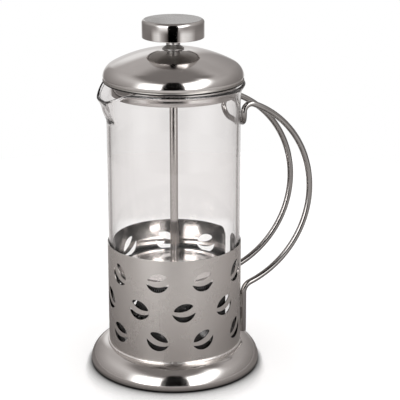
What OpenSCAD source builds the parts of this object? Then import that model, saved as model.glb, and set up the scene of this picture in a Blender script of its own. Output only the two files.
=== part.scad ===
// French press, small three-cup size, in millimetres.
// The origin is on the press axis at the underside of the base. +Z is up,
// +X points along the handle and -X along the pouring spout.
// The plunger is shown pressed all the way down.

/* [Base] */
// How far the base stands out past the glass, all round
base_step = 10.55; // [9:0.05:20]
// Height of the base's top face above the table
base_h = 12; // [11.5:0.5:20]
// Radius of the rounded shoulder of the base
base_shoulder_r = 10.5; // [6:0.5:10.5]
// Sheet thickness of the base
base_t = 0.8; // [0.5:0.1:1.2]
// Radius of the rolled edge at the foot of the base
base_roll_r = 1.1; // [0.8:0.1:1.4]
// Radius of the bright bead under the band
bead_r = 0.65; // [0.4:0.05:0.9]
// Radial width of the rubber foot ring
foot_w = 2.4; // [1.5:0.1:4]
// Height of the rubber foot ring
foot_h = 2.2; // [1.5:0.1:3]
// How far the rubber foot ring stands below the rolled edge
foot_proud = 0.4; // [0.2:0.1:0.8]

/* [Beaker] */
// Outer radius of the glass beaker
glass_r = 34.45; // [30:0.05:34.6]
// Wall thickness of the glass
glass_wall = 1.8; // [1.4:0.1:2.4]
// Height of the glass rim above the table
rim_z = 152.9; // [140:0.5:180]
// How far the rim flares out past the wall
rim_out = 2.2; // [1:0.1:3]
// Radius of the curve that the rim flares along
rim_curve_r = 10; // [6:0.5:14]
// Radius of the rounded bottom corner of the glass
glass_corner_r = 5; // [3:0.5:8]
// Radius of the fire-polished bead along the rim
rim_lip_r = 1.05; // [1:0.05:1.3]
// Distance of the spout's tip from the axis
spout_reach = 40.7; // [39.5:0.1:43]
// How far the spout's tip dips below the rim
spout_dip = 6.6; // [5:0.1:8]
// Distance of the middle of the spout's curve from the axis
spout_axis_x = 28; // [26:0.5:29]
// Height over which the spout runs out into the wall
spout_h = 13; // [11:0.5:18]
// Wall thickness of the spout
spout_wall = 1.5; // [1:0.1:1.8]

/* [Band] */
// Radial gap between the glass and the band
band_gap = 0.3; // [0.2:0.05:0.6]
// Thickness of the band
band_t = 0.4; // [0.3:0.05:0.8]
// Height of the band's top edge above the table
band_top_z = 68; // [64:0.5:72]
// Angle at which the open seam of the band starts
seam_from = 3; // [-6:0.5:4]
// Angle at which the open seam of the band ends
seam_to = 13; // [5:0.5:14]
// Radius of the rounded corners at the top of the seam
seam_corner_r = 4.5; // [1:0.5:6]
// How far the seam's round corner rises past the sleeve's top edge
seam_corner_rise = 0.06; // [0.04:0.01:0.1]
// Width of a bean cut-out
bean_w = 12.4; // [8.8:0.1:13.6]
// Angle between neighbouring bean cut-outs in a row
bean_pitch = 39.3; // [38:0.1:40]
// Height of the middle of the lowest row of bean cut-outs
bean_low_z = 24; // [23:0.5:25]
// Height between rows of bean cut-outs
bean_row_step = 16; // [13:0.5:16.5]

/* [Handle] */
// Radius of the handle's wire
wire_r = 1.4; // [1:0.05:1.8]
// Sideways distance of each rail from the handle's middle plane
rail_y = 12; // [9:0.5:14]
// Radius of the big bow of the rails
bow_r = 52.3; // [48:0.5:56]
// Distance of the bow's centre from the press axis
bow_x = 20.2; // [17:0.2:23]
// Height of the bow's centre above the table
bow_z = 91.9; // [88:0.5:96]
// Bend radius where the rails turn down at the glass
hook_bend_r = 4; // [3:0.5:6]
// Bend radius where the rails turn down along the band
leg_bend_r = 6; // [4:0.5:9]
// Height of the ends of the legs above the table
leg_end_z = 15.5; // [14.5:0.5:20]
// How far the saddle loop hangs below the hooks
saddle_drop = 6.8; // [5:0.2:9]
// Gap between the saddle loop and the glass
saddle_gap = 0.3; // [0.2:0.05:0.6]
// Length of each weld run beside a leg
weld_len = 7; // [4:0.5:9]
// Radius of the weld runs
weld_r = 0.55; // [0.4:0.05:0.7]
// Distance of the weld runs from the leg's end and from its upper bend
weld_inset = 0.6; // [0.2:0.1:2]

/* [Lid] */
// How far the lid stands out past the glass, all round
lid_over = 1.65; // [1.2:0.05:3]
// Radius of the lid's crown
crown_r = 60.5; // [50:0.5:75]
// Radius of the lid's rounded shoulder
lid_shoulder_r = 7.9; // [5:0.1:10]
// Sheet thickness of the lid and its skirt
lid_t = 0.8; // [0.5:0.1:1]
// Gap between the lid's edge and the glass rim
lid_gap = 0.4; // [0.3:0.05:0.8]
// Radial gap between the skirt and the inside of the glass
skirt_gap = 0.35; // [0.3:0.05:0.8]
// How far the skirt reaches down into the glass
skirt_h = 5.7; // [4:0.1:9]
// Radius of the guide bush's flange
bush_flange_r = 5.6; // [5:0.1:7]
// Thickness of the guide bush's flange
bush_flange_h = 2; // [1.2:0.1:3]
// Radius of the guide bush's threaded barrel
bush_r = 3.4; // [3.2:0.1:4]
// Length of the guide bush below its flange
bush_len = 8; // [6:0.5:10]
// Thickness of the nut that holds the guide bush
bush_nut_h = 3; // [2:0.1:4]
// Width across the flats of that nut
bush_nut_af = 11; // [10:0.5:13]
// Thickness of the washer between the lid and that nut
washer_h = 1; // [0.6:0.1:1.5]
// Outer radius of the washer between the lid and that nut
washer_r = 7; // [6.5:0.1:9]

/* [Plunger] */
// Radius of the plunger rod
rod_r = 2.1; // [1.8:0.05:2.4]
// Radial running clearance of the rod in its bush
rod_clear = 0.08; // [0.05:0.01:0.1]
// Height of the plunger plate's flat border above the table
plate_z = 52.5; // [46:0.5:60]
// Radial gap between the plunger plate and the inside of the glass
plate_gap = 0.8; // [0.6:0.05:1.5]
// Sheet thickness of the plunger plates
plate_t = 0.6; // [0.4:0.05:0.8]
// Width of the plunger plate's flat border
plate_border = 7.5; // [5:0.5:10]
// Height of the step inside the plunger plate's border
plate_step = 0.9; // [0.6:0.1:1.5]
// Rise of the domed middle of the plunger plate
plate_rise = 2.4; // [1.5:0.1:4]
// Radial gap between the edge coil and the inside of the glass
coil_gap = 0.35; // [0.3:0.05:0.6]
// Radius of the edge coil's cross section
coil_r = 1; // [0.7:0.05:1.2]
// Thickness of the woven filter screen
screen_t = 0.4; // [0.3:0.05:0.6]
// Radius of the cross plate under the screen
cross_r = 29; // [26:0.5:30]
// Width of each arm of the cross plate
cross_arm_w = 7; // [5:0.5:10]
// Outer radius of the filter nut
nut_r = 6; // [5:0.1:8]
// Height of the filter nut below the cross plate
nut_h = 3; // [2:0.1:5]
// How much narrower the filter nut's collar is than the nut
collar_step = 2; // [1.5:0.1:2.4]
// Width of the cross plate's rim
cross_rim_w = 4; // [2:0.5:6]
// Gap that lets the filter nut and the cross plate turn
turn_gap = 0.3; // [0.2:0.05:0.5]
// Depth of the rod's lower end inside the filter nut, from the nut's underside
rod_low_inset = 0.8; // [0.2:0.1:1.5]

/* [Knob] */
// Radius of the knob
knob_r = 15.9; // [12:0.1:20]
// Height of the knob
knob_h = 9.3; // [7:0.1:14]
// Rounding radius of the knob's top edge
knob_round_r = 1.8; // [1:0.1:2.4]
// Sheet thickness of the knob's shell
knob_t = 0.8; // [0.5:0.1:1.2]
// Radius of the neck under the knob
neck_r = 3.6; // [3.2:0.1:6]
// Length of the neck under the knob
neck_h = 3.6; // [2:0.1:8]
// Gap between the neck and the guide bush when pressed down
neck_gap = 0.3; // [0.2:0.05:0.6]
// Radius of the fillet between the neck and the knob's underside
neck_fillet_r = 1; // [0.5:0.1:1.5]
// How far the core sits up inside the knob's shell
core_inset = 0.6; // [0.3:0.1:1]
// Clear height between the rod's upper end and the knob's shell
rod_end_clear = 1.2; // [0.6:0.1:2]

/* [Hidden] */
$fn = 96;
eps = 0.01;

// Band and base seat
band_in_r = glass_r + band_gap;
band_out_r = band_in_r + band_t;
pan_r = band_in_r - band_gap;
pan_gap = 0.3;
glass_z = base_h + pan_gap;
bead_h = 1.6 * bead_r;
band_z = base_h + bead_h;
band_h = band_top_z - band_z;
cut_reach = 8 * band_t;
base_r = glass_r + base_step;
shoulder_r = min(base_shoulder_r, base_step - 0.05);
shoulder_x = base_r - shoulder_r;
shoulder_z = base_h - shoulder_r;
roll_x = base_r - base_roll_r;
roll_z = base_roll_r + foot_proud;
foot_out_r = roll_x - base_roll_r;
foot_in_r = foot_out_r - foot_w;

// Glass rim
glass_in_r = glass_r - glass_wall;
rim_angle = acos(1 - rim_out / rim_curve_r);
rim_mid_r = rim_curve_r + glass_wall / 2;
rim_bend_z = rim_z - rim_lip_r - rim_mid_r * sin(rim_angle);
rim_axis_x = glass_r + rim_curve_r;
lip_x = rim_axis_x - rim_mid_r * cos(rim_angle);
lip_z = rim_z - rim_lip_r;
spout_low_z = rim_z - spout_h;
spout_low_r = glass_r - spout_axis_x;
spout_slope = (spout_reach - glass_r) / (spout_h - spout_dip);
spout_tilt = atan((spout_dip - 0.5) / (spout_reach - spout_axis_x - 1));

// Handle wire
saddle_r = glass_r + saddle_gap + wire_r;
hook_x = sqrt(saddle_r * saddle_r - rail_y * rail_y);
leg_clear = 0.02;
leg_axis_r = band_out_r + leg_clear + wire_r;
leg_x = sqrt(leg_axis_r * leg_axis_r - rail_y * rail_y);
hook_cx = hook_x + hook_bend_r;
hook_from = acos((hook_cx - bow_x) / (bow_r - hook_bend_r));
hook_cz = bow_z + (bow_r - hook_bend_r) * sin(hook_from);
leg_cx = leg_x + leg_bend_r;
leg_from = -acos((leg_cx - bow_x) / (bow_r + leg_bend_r));
leg_cz = bow_z + (bow_r + leg_bend_r) * sin(leg_from);
wire_sides = 12;
hook_u = saddle_r * asin(rail_y / saddle_r) * PI / 180;

// Lid
lid_r = glass_r + lid_over;
lid_edge_z = rim_z + lid_gap;
lid_wide_z = lid_edge_z + lid_t;
crown_z = lid_wide_z - sqrt(pow(crown_r - lid_shoulder_r, 2) - pow(lid_r - lid_shoulder_r, 2));
crown_to = asin((lid_r - lid_shoulder_r) / (crown_r - lid_shoulder_r));
seat_r = bush_flange_r + 0.6;
seat_z = crown_z + sqrt(crown_r * crown_r - seat_r * seat_r);
skirt_out_r = glass_in_r - skirt_gap;
skirt_z = rim_z - skirt_h;
lid_in_r = lid_r - lid_t;
bush_top_z = seat_z + bush_flange_h;
bush_low_z = seat_z - bush_len;
washer_z = seat_z - lid_t - washer_h;
bush_nut_z = washer_z - bush_nut_h;
rod_bore_r = rod_r + rod_clear;

// Plunger stack
plate_r = glass_in_r - plate_gap;
step_r = plate_r - plate_border;
coil_mid_r = glass_in_r - coil_gap - coil_r;
coil_z = plate_z - plate_t - coil_r;
screen_z = coil_z - coil_r - screen_t;
cross_z = screen_z - turn_gap - plate_t;
nut_z = cross_z - nut_h;
hub_clear = 0.05;
collar_r = nut_r - collar_step;
dome_base_z = plate_z + plate_step;
plate_dome_r = (pow(step_r - plate_t, 2) + plate_rise * plate_rise) / (2 * plate_rise);
plate_hub_z = dome_base_z + plate_rise;

// Knob
neck_z = bush_top_z + neck_gap;
knob_z = neck_z + neck_h;
knob_top_z = knob_z + knob_h;
rod_top_z = knob_top_z - knob_t - rod_end_clear;
rod_low_z = nut_z + rod_low_inset;

// Part of a ring about the origin, between two radii and two angles.
module ring_sector(r_in, r_out, from, to) {
  far = 2 * r_out;
  mid = (from + to) / 2;
  intersection() {
    difference() {
      circle(r = r_out);
      circle(r = r_in);
    }
    polygon([[0, 0], [far * cos(from), far * sin(from)],
             [far * cos(mid), far * sin(mid)], [far * cos(to), far * sin(to)]]);
  }
}

// Half outline of the base, from the axis out to its side, inset by a distance.
module base_outline(inset) {
  square([shoulder_x, base_h - inset]);
  square([base_r - inset, shoulder_z]);
  translate([shoulder_x, shoulder_z]) circle(r = shoulder_r - inset);
}

// Pressed base: rolled foot, rounded shoulder, flat top and a bead for the band.
module base_shell() {
  color([0.72, 0.71, 0.70])
    rotate_extrude()
      union() {
        intersection() {
          difference() {
            base_outline(0);
            base_outline(base_t);
          }
          translate([pan_r, roll_z]) square([base_r, base_h - roll_z]);
        }
        intersection() {
          translate([roll_x, roll_z]) circle(r = base_roll_r, $fn = 32);
          translate([0, roll_z - base_r]) square([base_r, base_r]);
        }
        translate([pan_r, base_h]) square([band_out_r - pan_r, bead_h]);
        translate([band_out_r, base_h + bead_h - bead_r]) circle(r = bead_r, $fn = 32);
      }
}

// Flat disc inside the base that the beaker stands on.
module base_pan() {
  color([0.62, 0.61, 0.60])
    translate([0, 0, base_h - base_t])
      cylinder(r = pan_r, h = base_t);
}

// Rubber ring pressed in behind the rolled foot.
module foot_ring() {
  color([0.07, 0.07, 0.07])
    difference() {
      cylinder(r = foot_out_r, h = foot_h);
      translate([0, 0, -1]) cylinder(r = foot_in_r, h = foot_h + 2);
    }
}

// Bean, drawn as seen from outside: a blunt lobe above a crescent.
module bean_lobe() {
  intersection() {
    translate([0.8, -2.35]) circle(r = 7.2, $fn = 64);
    translate([-1.2, 11.1]) circle(r = 10.5, $fn = 64);
    translate([-0.6, 2.4]) circle(r = 5.5, $fn = 64);
  }
}

module bean_crescent() {
  difference() {
    translate([0, 1]) circle(r = 6.2, $fn = 64);
    translate([0.3, 9]) circle(r = 11.2, $fn = 64);
  }
}

// One bean cut through the band at an angle, a height and a tilt.
module bean_cut(angle, z, tilt) {
  rotate([0, 0, angle])
    translate([band_in_r - cut_reach, 0, z])
      rotate([90, 0, 90])
        linear_extrude(height = band_t + 2 * cut_reach)
          rotate(tilt)
            mirror([tilt < 0 ? 1 : 0, 0])
              scale(bean_w / 12.4) {
                bean_lobe();
                bean_crescent();
              }
}

// A row of beans, one for each tilt given.
module bean_row(first, z, tilts) {
  for (i = [0 : len(tilts) - 1])
    bean_cut(first + i * bean_pitch, z, tilts[i]);
}

// Outline of the open seam: a slot whose two top corners open out in a round.
module seam_outline(width, corner) {
  centre_z = band_top_z - corner + seam_corner_rise;
  difference() {
    translate([-width / 2 - corner, 0]) square([width + 2 * corner, band_top_z + corner]);
    for (side = [-1, 1])
      mirror([side < 0 ? 1 : 0, 0])
        union() {
          translate([width / 2, -1]) square([2 * corner, centre_z + 1]);
          translate([width / 2 + corner, centre_z]) circle(r = corner, $fn = 48);
        }
  }
}

// Open C-shaped sleeve with three staggered rows of bean cut-outs.
module band() {
  row_a = 38.5;
  row_b = row_a + 0.57 * bean_pitch;
  seam_w = 2 * band_out_r * sin((seam_to - seam_from) / 2);
  color([0.66, 0.65, 0.64])
    difference() {
      translate([0, 0, band_z])
        difference() {
          cylinder(r = band_out_r, h = band_h);
          translate([0, 0, -1]) cylinder(r = band_in_r, h = band_h + 2);
        }
      rotate([0, 0, (seam_from + seam_to) / 2])
        translate([band_in_r - cut_reach, 0, 0])
          rotate([90, 0, 90])
            linear_extrude(height = band_t + 2 * cut_reach)
              seam_outline(seam_w, seam_corner_r);
      bean_row(row_a, bean_low_z + 2 * bean_row_step, [-12, 12, -34, 15, -38, 3, 9, 36]);
      bean_row(row_b, bean_low_z + bean_row_step, [14, -20, 8, -30, -12, 5, 18]);
      bean_row(row_a, bean_low_z, [-15, 22, -10, 18, -8, -17, 22, 35]);
    }
}

// Centre line of one side of the handle, from the leg's end to the middle of the saddle.
function rail_point(x, z) = [x, -rail_y, z];
function saddle_point(u, z) =
  [saddle_r * cos(u * 180 / (PI * saddle_r)), saddle_r * sin(u * 180 / (PI * saddle_r)), z];
function half_path() = concat(
  [rail_point(leg_x, leg_end_z)],
  [for (i = [0 : 6]) let (a = 180 + leg_from * i / 6)
    rail_point(leg_cx + leg_bend_r * cos(a), leg_cz + leg_bend_r * sin(a))],
  [for (i = [1 : 24]) let (a = leg_from + (hook_from - leg_from) * i / 24)
    rail_point(bow_x + bow_r * cos(a), bow_z + bow_r * sin(a))],
  [for (i = [1 : 6]) let (a = hook_from + (180 - hook_from) * i / 7)
    rail_point(hook_cx + hook_bend_r * cos(a), hook_cz + hook_bend_r * sin(a))],
  [for (i = [0 : 6]) let (a = 90 * i / 6)
    saddle_point(-(hook_u - saddle_drop + saddle_drop * cos(a)),
                 hook_cz - saddle_drop * sin(a))],
  [saddle_point(-(hook_u - saddle_drop) / 2, hook_cz - saddle_drop)]);
function flipped(p) = [for (i = [len(p) - 1 : -1 : 0]) [p[i][0], -p[i][1], p[i][2]]];
function whole_path() = let (h = half_path())
  concat(h, [saddle_point(0, hook_cz - saddle_drop)], flipped(h));

// Round tube along a path: rings of points joined by quads, with flat ends.
function unit(v) = v / norm(v);
function tangents(p) = let (n = len(p))
  [for (i = [0 : n - 1]) unit(p[min(i + 1, n - 1)] - p[max(i - 1, 0)])];
function square_to(v, t) = unit(v - (v * t) * t);
function carried(t) =
  [for (i = 0, v = square_to([0, 1, 0], t[0]); i < len(t);
        i = i + 1, v = i < len(t) ? square_to(v, t[i]) : v)
    v];
module tube(path, r, sides) {
  t = tangents(path);
  across = carried(t);
  n = len(path);
  points = [for (i = [0 : n - 1]) let (u = square_to(across[i], t[i]), w = cross(t[i], u))
    for (k = [0 : sides - 1]) let (a = 360 * k / sides)
      path[i] + r * (cos(a) * u + sin(a) * w)];
  walls = [for (i = [0 : n - 2]) for (k = [0 : sides - 1]) let (j = (k + 1) % sides)
    [i * sides + k, (i + 1) * sides + k, (i + 1) * sides + j, i * sides + j]];
  first = [for (k = [0 : sides - 1]) k];
  last = [for (k = [sides - 1 : -1 : 0]) (n - 1) * sides + k];
  polyhedron(points = points, faces = concat(walls, [first], [last]), convexity = 6);
}

// Bent wire handle: two legs, two bowed rails and the saddle loop, in one piece.
module handle_wire() {
  color([0.72, 0.71, 0.70])
    tube(whole_path(), wire_r, wire_sides);
}

// Weld runs in the corners between the legs and the band.
module leg_welds() {
  weld_x = band_out_r + 0.7 * weld_r;
  weld_y = 0.78 * wire_r + 0.35 * weld_r;
  weld_zs = [leg_end_z + weld_inset, leg_cz - weld_len - weld_inset];
  color([0.55, 0.54, 0.52])
    for (side = [-1, 1])
      difference() {
        for (z = weld_zs)
          for (edge = [-1, 1])
            rotate([0, 0, side * asin(rail_y / leg_axis_r)])
              translate([weld_x, edge * weld_y, z])
                cylinder(r = weld_r, h = weld_len, $fn = 64);
        translate([0, 0, leg_end_z - 2]) cylinder(r = band_out_r, h = band_top_z, $fn = 360);
        translate([leg_x, side * rail_y, leg_end_z - 2])
          cylinder(r = wire_r, h = band_top_z);
      }
}

// Quarter disc that rounds the lower right corner of an outline.
module quarter_disc(r, x, z) {
  translate([x, z])
    intersection() {
      circle(r = r);
      translate([0, -2 * r]) square(2 * r);
    }
}

// Half outline of a round-cornered cup, from the axis out to its side.
module cup_outline(r, z_low, z_high, corner) {
  translate([0, z_low]) square([r - corner, z_high - z_low]);
  translate([r - corner, z_low + corner]) square([corner, z_high - z_low - corner]);
  quarter_disc(corner, r - corner, z_low + corner);
}

// Cross-section of the glass wall: bottom, rounded corner, side and flared rim.
module glass_profile() {
  inner_corner = glass_corner_r - glass_wall;
  intersection() {
    difference() {
      cup_outline(glass_r, glass_z, rim_bend_z, glass_corner_r);
      cup_outline(glass_in_r, glass_z + glass_wall, rim_z, inner_corner);
    }
    square([glass_r, rim_bend_z]);
  }
  translate([rim_axis_x, rim_bend_z])
    ring_sector(rim_curve_r, rim_curve_r + glass_wall, 180 - rim_angle, 180);
  translate([lip_x, lip_z]) circle(r = rim_lip_r, $fn = 32);
}

// Flaring cone that forms the spout, thinned by a wall.
module spout_cone(wall) {
  start = 0.9;
  high = spout_h + 3;
  translate([-spout_axis_x, 0, spout_low_z - start])
    cylinder(r1 = spout_low_r - start * spout_slope - wall,
             r2 = spout_low_r + high * spout_slope - wall, h = high + start);
}

// Blown glass beaker with a flared rim and a pulled spout whose lip dips.
module beaker() {
  mid_r = glass_r - glass_wall / 2;
  color([0.85, 0.88, 0.88, 0.4])
    difference() {
      union() {
        rotate_extrude() glass_profile();
        difference() {
          spout_cone(0);
          cylinder(r = mid_r, h = rim_bend_z);
          translate([0, 0, rim_bend_z])
            cylinder(r1 = mid_r, r2 = mid_r + rim_out, h = rim_z - rim_bend_z);
          translate([0, 0, rim_z]) cylinder(r = 2 * glass_r, h = spout_h);
        }
      }
      spout_cone(spout_wall);
      translate([-spout_reach, 0, rim_z - spout_dip])
        rotate([0, -spout_tilt, 0])
          translate([-glass_r, -glass_r, 0])
            cube([3 * glass_r, 2 * glass_r, glass_r]);
    }
}

// Outline of the lid's dome, inset by a distance.
module dome_outline(inset) {
  far = 2 * crown_r;
  intersection() {
    union() {
      translate([0, crown_z])
        intersection() {
          circle(r = crown_r - inset, $fn = 192);
          polygon([[0, 0], [0, far], [far * sin(crown_to), far * cos(crown_to)]]);
        }
      translate([lid_r - lid_shoulder_r, lid_wide_z]) circle(r = lid_shoulder_r - inset);
      polygon([[0, crown_z], [lid_r - lid_shoulder_r, lid_wide_z],
               [lid_r - lid_shoulder_r, lid_edge_z], [0, lid_edge_z]]);
      translate([0, lid_edge_z - 1])
        square([lid_r - lid_shoulder_r, lid_wide_z - lid_edge_z + 1]);
    }
    translate([0, lid_edge_z]) square([lid_r, seat_z - inset - lid_edge_z]);
  }
}

// Domed lid, with a small flat seat for the guide bush.
module lid_dome() {
  color([0.72, 0.71, 0.70])
    difference() {
      rotate_extrude()
        difference() {
          dome_outline(0);
          union() {
            dome_outline(lid_t);
            translate([0, lid_edge_z - 2]) square([lid_in_r - lid_t * 0.2, 2 + eps]);
          }
        }
      translate([0, 0, bush_low_z]) cylinder(r = bush_r + hub_clear, h = 3 * bush_len);
    }
}

// Ring under the lid: a flange inside the dome's edge and a wall inside the glass.
module lid_skirt() {
  flange_z = rim_z + lid_gap - 0.1;
  color([0.70, 0.69, 0.68])
    difference() {
      union() {
        translate([0, 0, skirt_z]) cylinder(r = skirt_out_r, h = flange_z - skirt_z + lid_t);
        translate([0, 0, flange_z]) cylinder(r = lid_in_r - 0.1, h = lid_t);
      }
      translate([0, 0, skirt_z - 1])
        cylinder(r = skirt_out_r - lid_t, h = flange_z - skirt_z + lid_t + 2);
    }
}

// Flanged bush that guides the rod through the lid.
module guide_bush() {
  color([0.70, 0.69, 0.68])
    difference() {
      union() {
        translate([0, 0, seat_z])
          rotate_extrude()
            union() {
              square([bush_flange_r - bush_flange_h / 2, bush_flange_h]);
              translate([bush_flange_r - bush_flange_h / 2, bush_flange_h / 2])
                circle(r = bush_flange_h / 2, $fn = 32);
            }
        translate([0, 0, bush_low_z]) cylinder(r = bush_r, h = bush_len + bush_flange_h / 2);
      }
      translate([0, 0, bush_low_z - 1]) cylinder(r = rod_bore_r, h = 3 * bush_len);
    }
}

// Washer between the inside of the dome and the nut.
module guide_washer() {
  color([0.12, 0.12, 0.12])
    translate([0, 0, washer_z])
      difference() {
        cylinder(r = washer_r, h = washer_h);
        translate([0, 0, -1]) cylinder(r = bush_r + hub_clear, h = washer_h + 2);
        translate([0, 0, crown_z - washer_z])
          difference() {
            cylinder(r = 2 * washer_r, h = crown_r);
            sphere(r = crown_r - lid_t, $fn = 192);
          }
      }
}

// Hexagon nut that clamps the bush in the lid.
module guide_nut() {
  color([0.70, 0.69, 0.68])
    translate([0, 0, bush_nut_z])
      difference() {
        cylinder(r = bush_nut_af / sqrt(3), h = bush_nut_h, $fn = 6);
        translate([0, 0, -1]) cylinder(r = bush_r + hub_clear, h = bush_nut_h + 2);
      }
}

// Plunger rod.
module rod() {
  color([0.72, 0.71, 0.70])
    translate([0, 0, rod_low_z])
      cylinder(r = rod_r, h = rod_top_z - rod_low_z);
}

// Outline of the knob, inset by a distance.
module knob_outline(inset) {
  round_r = knob_round_r - min(inset, knob_round_r - 0.4);
  side = knob_r - inset;
  top = knob_top_z - inset;
  translate([0, knob_z]) square([side, top - round_r - knob_z]);
  translate([0, knob_z]) square([side - round_r, top - knob_z]);
  translate([side - round_r, top - round_r]) circle(r = round_r, $fn = 48);
}

// Drawn steel cap of the knob.
module knob_shell() {
  color([0.72, 0.71, 0.70])
    rotate_extrude()
      difference() {
        knob_outline(0);
        translate([0, -eps]) knob_outline(knob_t);
        translate([0, knob_z - 1]) square([knob_r - knob_t, 1 + 2 * eps]);
      }
}

// Core of the knob: a disc inside the cap with the threaded neck under it.
module knob_core() {
  disc_h = knob_h - knob_t - knob_round_r - core_inset;
  disc_z = knob_z + core_inset;
  color([0.70, 0.69, 0.68])
    difference() {
      union() {
        translate([0, 0, disc_z]) cylinder(r = knob_r - knob_t, h = disc_h);
        translate([0, 0, neck_z]) cylinder(r = neck_r, h = neck_h + disc_h / 2);
        translate([0, 0, disc_z])
          rotate_extrude()
            difference() {
              translate([0, -neck_fillet_r])
                square([neck_r + neck_fillet_r, neck_fillet_r + disc_h / 2]);
              translate([neck_r + neck_fillet_r, -neck_fillet_r])
                circle(r = neck_fillet_r, $fn = 32);
            }
      }
      translate([0, 0, neck_z - 1])
        cylinder(r = rod_r + hub_clear, h = rod_top_z - neck_z + 1 + hub_clear);
    }
}

// Plunger plate: flat border, a step and a domed middle.
module spiral_plate() {
  dome_z = plate_hub_z - plate_dome_r;
  inner_r = step_r - plate_t;
  color([0.72, 0.71, 0.70])
    difference() {
      rotate_extrude()
        union() {
          translate([step_r - plate_t, plate_z - plate_t])
            square([plate_r - step_r + plate_t, plate_t]);
          translate([step_r - plate_t, plate_z - plate_t])
            square([plate_t, plate_step + plate_t]);
          intersection() {
            translate([0, dome_z])
              difference() {
                circle(r = plate_dome_r, $fn = 192);
                circle(r = plate_dome_r - plate_t, $fn = 192);
              }
            translate([0, plate_z - plate_t])
              square([inner_r + eps, plate_step + plate_rise + 2 * plate_t]);
          }
        }
      translate([0, 0, plate_z - 5]) cylinder(r = rod_r + hub_clear, h = 20);
    }
}

// Close-wound spring that seals the plunger's edge, drawn as its outer shape.
module edge_coil() {
  color([0.62, 0.61, 0.60])
    rotate_extrude()
      translate([coil_mid_r, coil_z]) circle(r = coil_r, $fn = 32);
}

// Woven screen under the coil.
module filter_screen() {
  color([0.45, 0.44, 0.42])
    translate([0, 0, screen_z])
      difference() {
        cylinder(r = coil_mid_r, h = screen_t);
        translate([0, 0, -1]) cylinder(r = rod_r + hub_clear, h = screen_t + 2);
      }
}

// Plate with a rim and four arms that presses the screen up.
module cross_plate() {
  color([0.70, 0.69, 0.68])
    translate([0, 0, cross_z])
      difference() {
        union() {
          difference() {
            cylinder(r = cross_r, h = plate_t);
            translate([0, 0, -1]) cylinder(r = cross_r - cross_rim_w, h = plate_t + 2);
          }
          intersection() {
            cylinder(r = cross_r - cross_rim_w / 2, h = plate_t);
            for (turn = [0, 90])
              rotate([0, 0, turn])
                translate([-cross_r, -cross_arm_w / 2, 0])
                  cube([2 * cross_r, cross_arm_w, plate_t]);
          }
          cylinder(r = nut_r + collar_step, h = plate_t);
        }
        translate([0, 0, -1]) cylinder(r = collar_r + hub_clear, h = plate_t + 2);
      }
}

// Threaded nut on the rod's lower end; its collar holds the cross plate.
module filter_nut() {
  color([0.68, 0.67, 0.66])
    difference() {
      union() {
        translate([0, 0, nut_z]) cylinder(r = nut_r, h = cross_z - nut_z);
        translate([0, 0, nut_z])
          cylinder(r = collar_r, h = screen_z - turn_gap - nut_z);
      }
      translate([0, 0, nut_z - 1])
        cylinder(r = rod_r + hub_clear, h = screen_z - nut_z + 1);
    }
}

base_shell();
base_pan();
foot_ring();
band();
handle_wire();
leg_welds();
beaker();
lid_dome();
lid_skirt();
guide_bush();
guide_washer();
guide_nut();
rod();
knob_shell();
knob_core();
spiral_plate();
edge_coil();
filter_screen();
cross_plate();
filter_nut();
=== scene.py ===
"""French press: smooth pieces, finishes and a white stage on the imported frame."""

import math

import bpy
from bpy.props import FloatProperty, FloatVectorProperty, IntProperty, PointerProperty
from bpy.types import Operator, Panel, PropertyGroup
from mathutils import Matrix, Vector


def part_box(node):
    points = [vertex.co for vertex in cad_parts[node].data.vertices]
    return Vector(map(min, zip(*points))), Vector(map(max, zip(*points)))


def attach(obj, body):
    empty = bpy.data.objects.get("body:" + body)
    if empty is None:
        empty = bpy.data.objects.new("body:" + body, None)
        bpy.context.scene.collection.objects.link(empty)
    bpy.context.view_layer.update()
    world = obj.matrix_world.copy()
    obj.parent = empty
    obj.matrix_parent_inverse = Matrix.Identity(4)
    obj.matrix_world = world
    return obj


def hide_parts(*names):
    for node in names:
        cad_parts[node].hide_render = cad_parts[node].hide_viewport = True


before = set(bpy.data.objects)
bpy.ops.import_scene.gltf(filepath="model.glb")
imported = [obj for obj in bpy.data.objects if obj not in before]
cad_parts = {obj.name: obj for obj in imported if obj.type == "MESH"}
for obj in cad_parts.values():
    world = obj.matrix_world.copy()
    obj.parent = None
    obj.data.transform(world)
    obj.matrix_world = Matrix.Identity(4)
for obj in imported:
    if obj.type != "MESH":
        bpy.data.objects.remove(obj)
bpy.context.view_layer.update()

bl_info = {
    "name": "French Press",
    "version": (1, 0, 0),
    "blender": (4, 5, 0),
    "location": "3D View > Sidebar > French Press",
    "description": "Builds the pieces, finishes and stage of a small french press",
    "category": "Add Mesh",
}

MM = 0.001
FIT = 0.05 * MM         # clearance between turned pieces that fit together
SAME_POINT = 1e-6       # points closer than this are merged


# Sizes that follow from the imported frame

def lowest(node):
    """Height of a node's lowest point."""
    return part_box(node)[0][2]


def highest(node):
    """Height of a node's highest point."""
    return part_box(node)[1][2]


def outer(node, axis=1):
    """Outer radius of a round node, measured along an axis."""
    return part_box(node)[1][axis]


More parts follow.
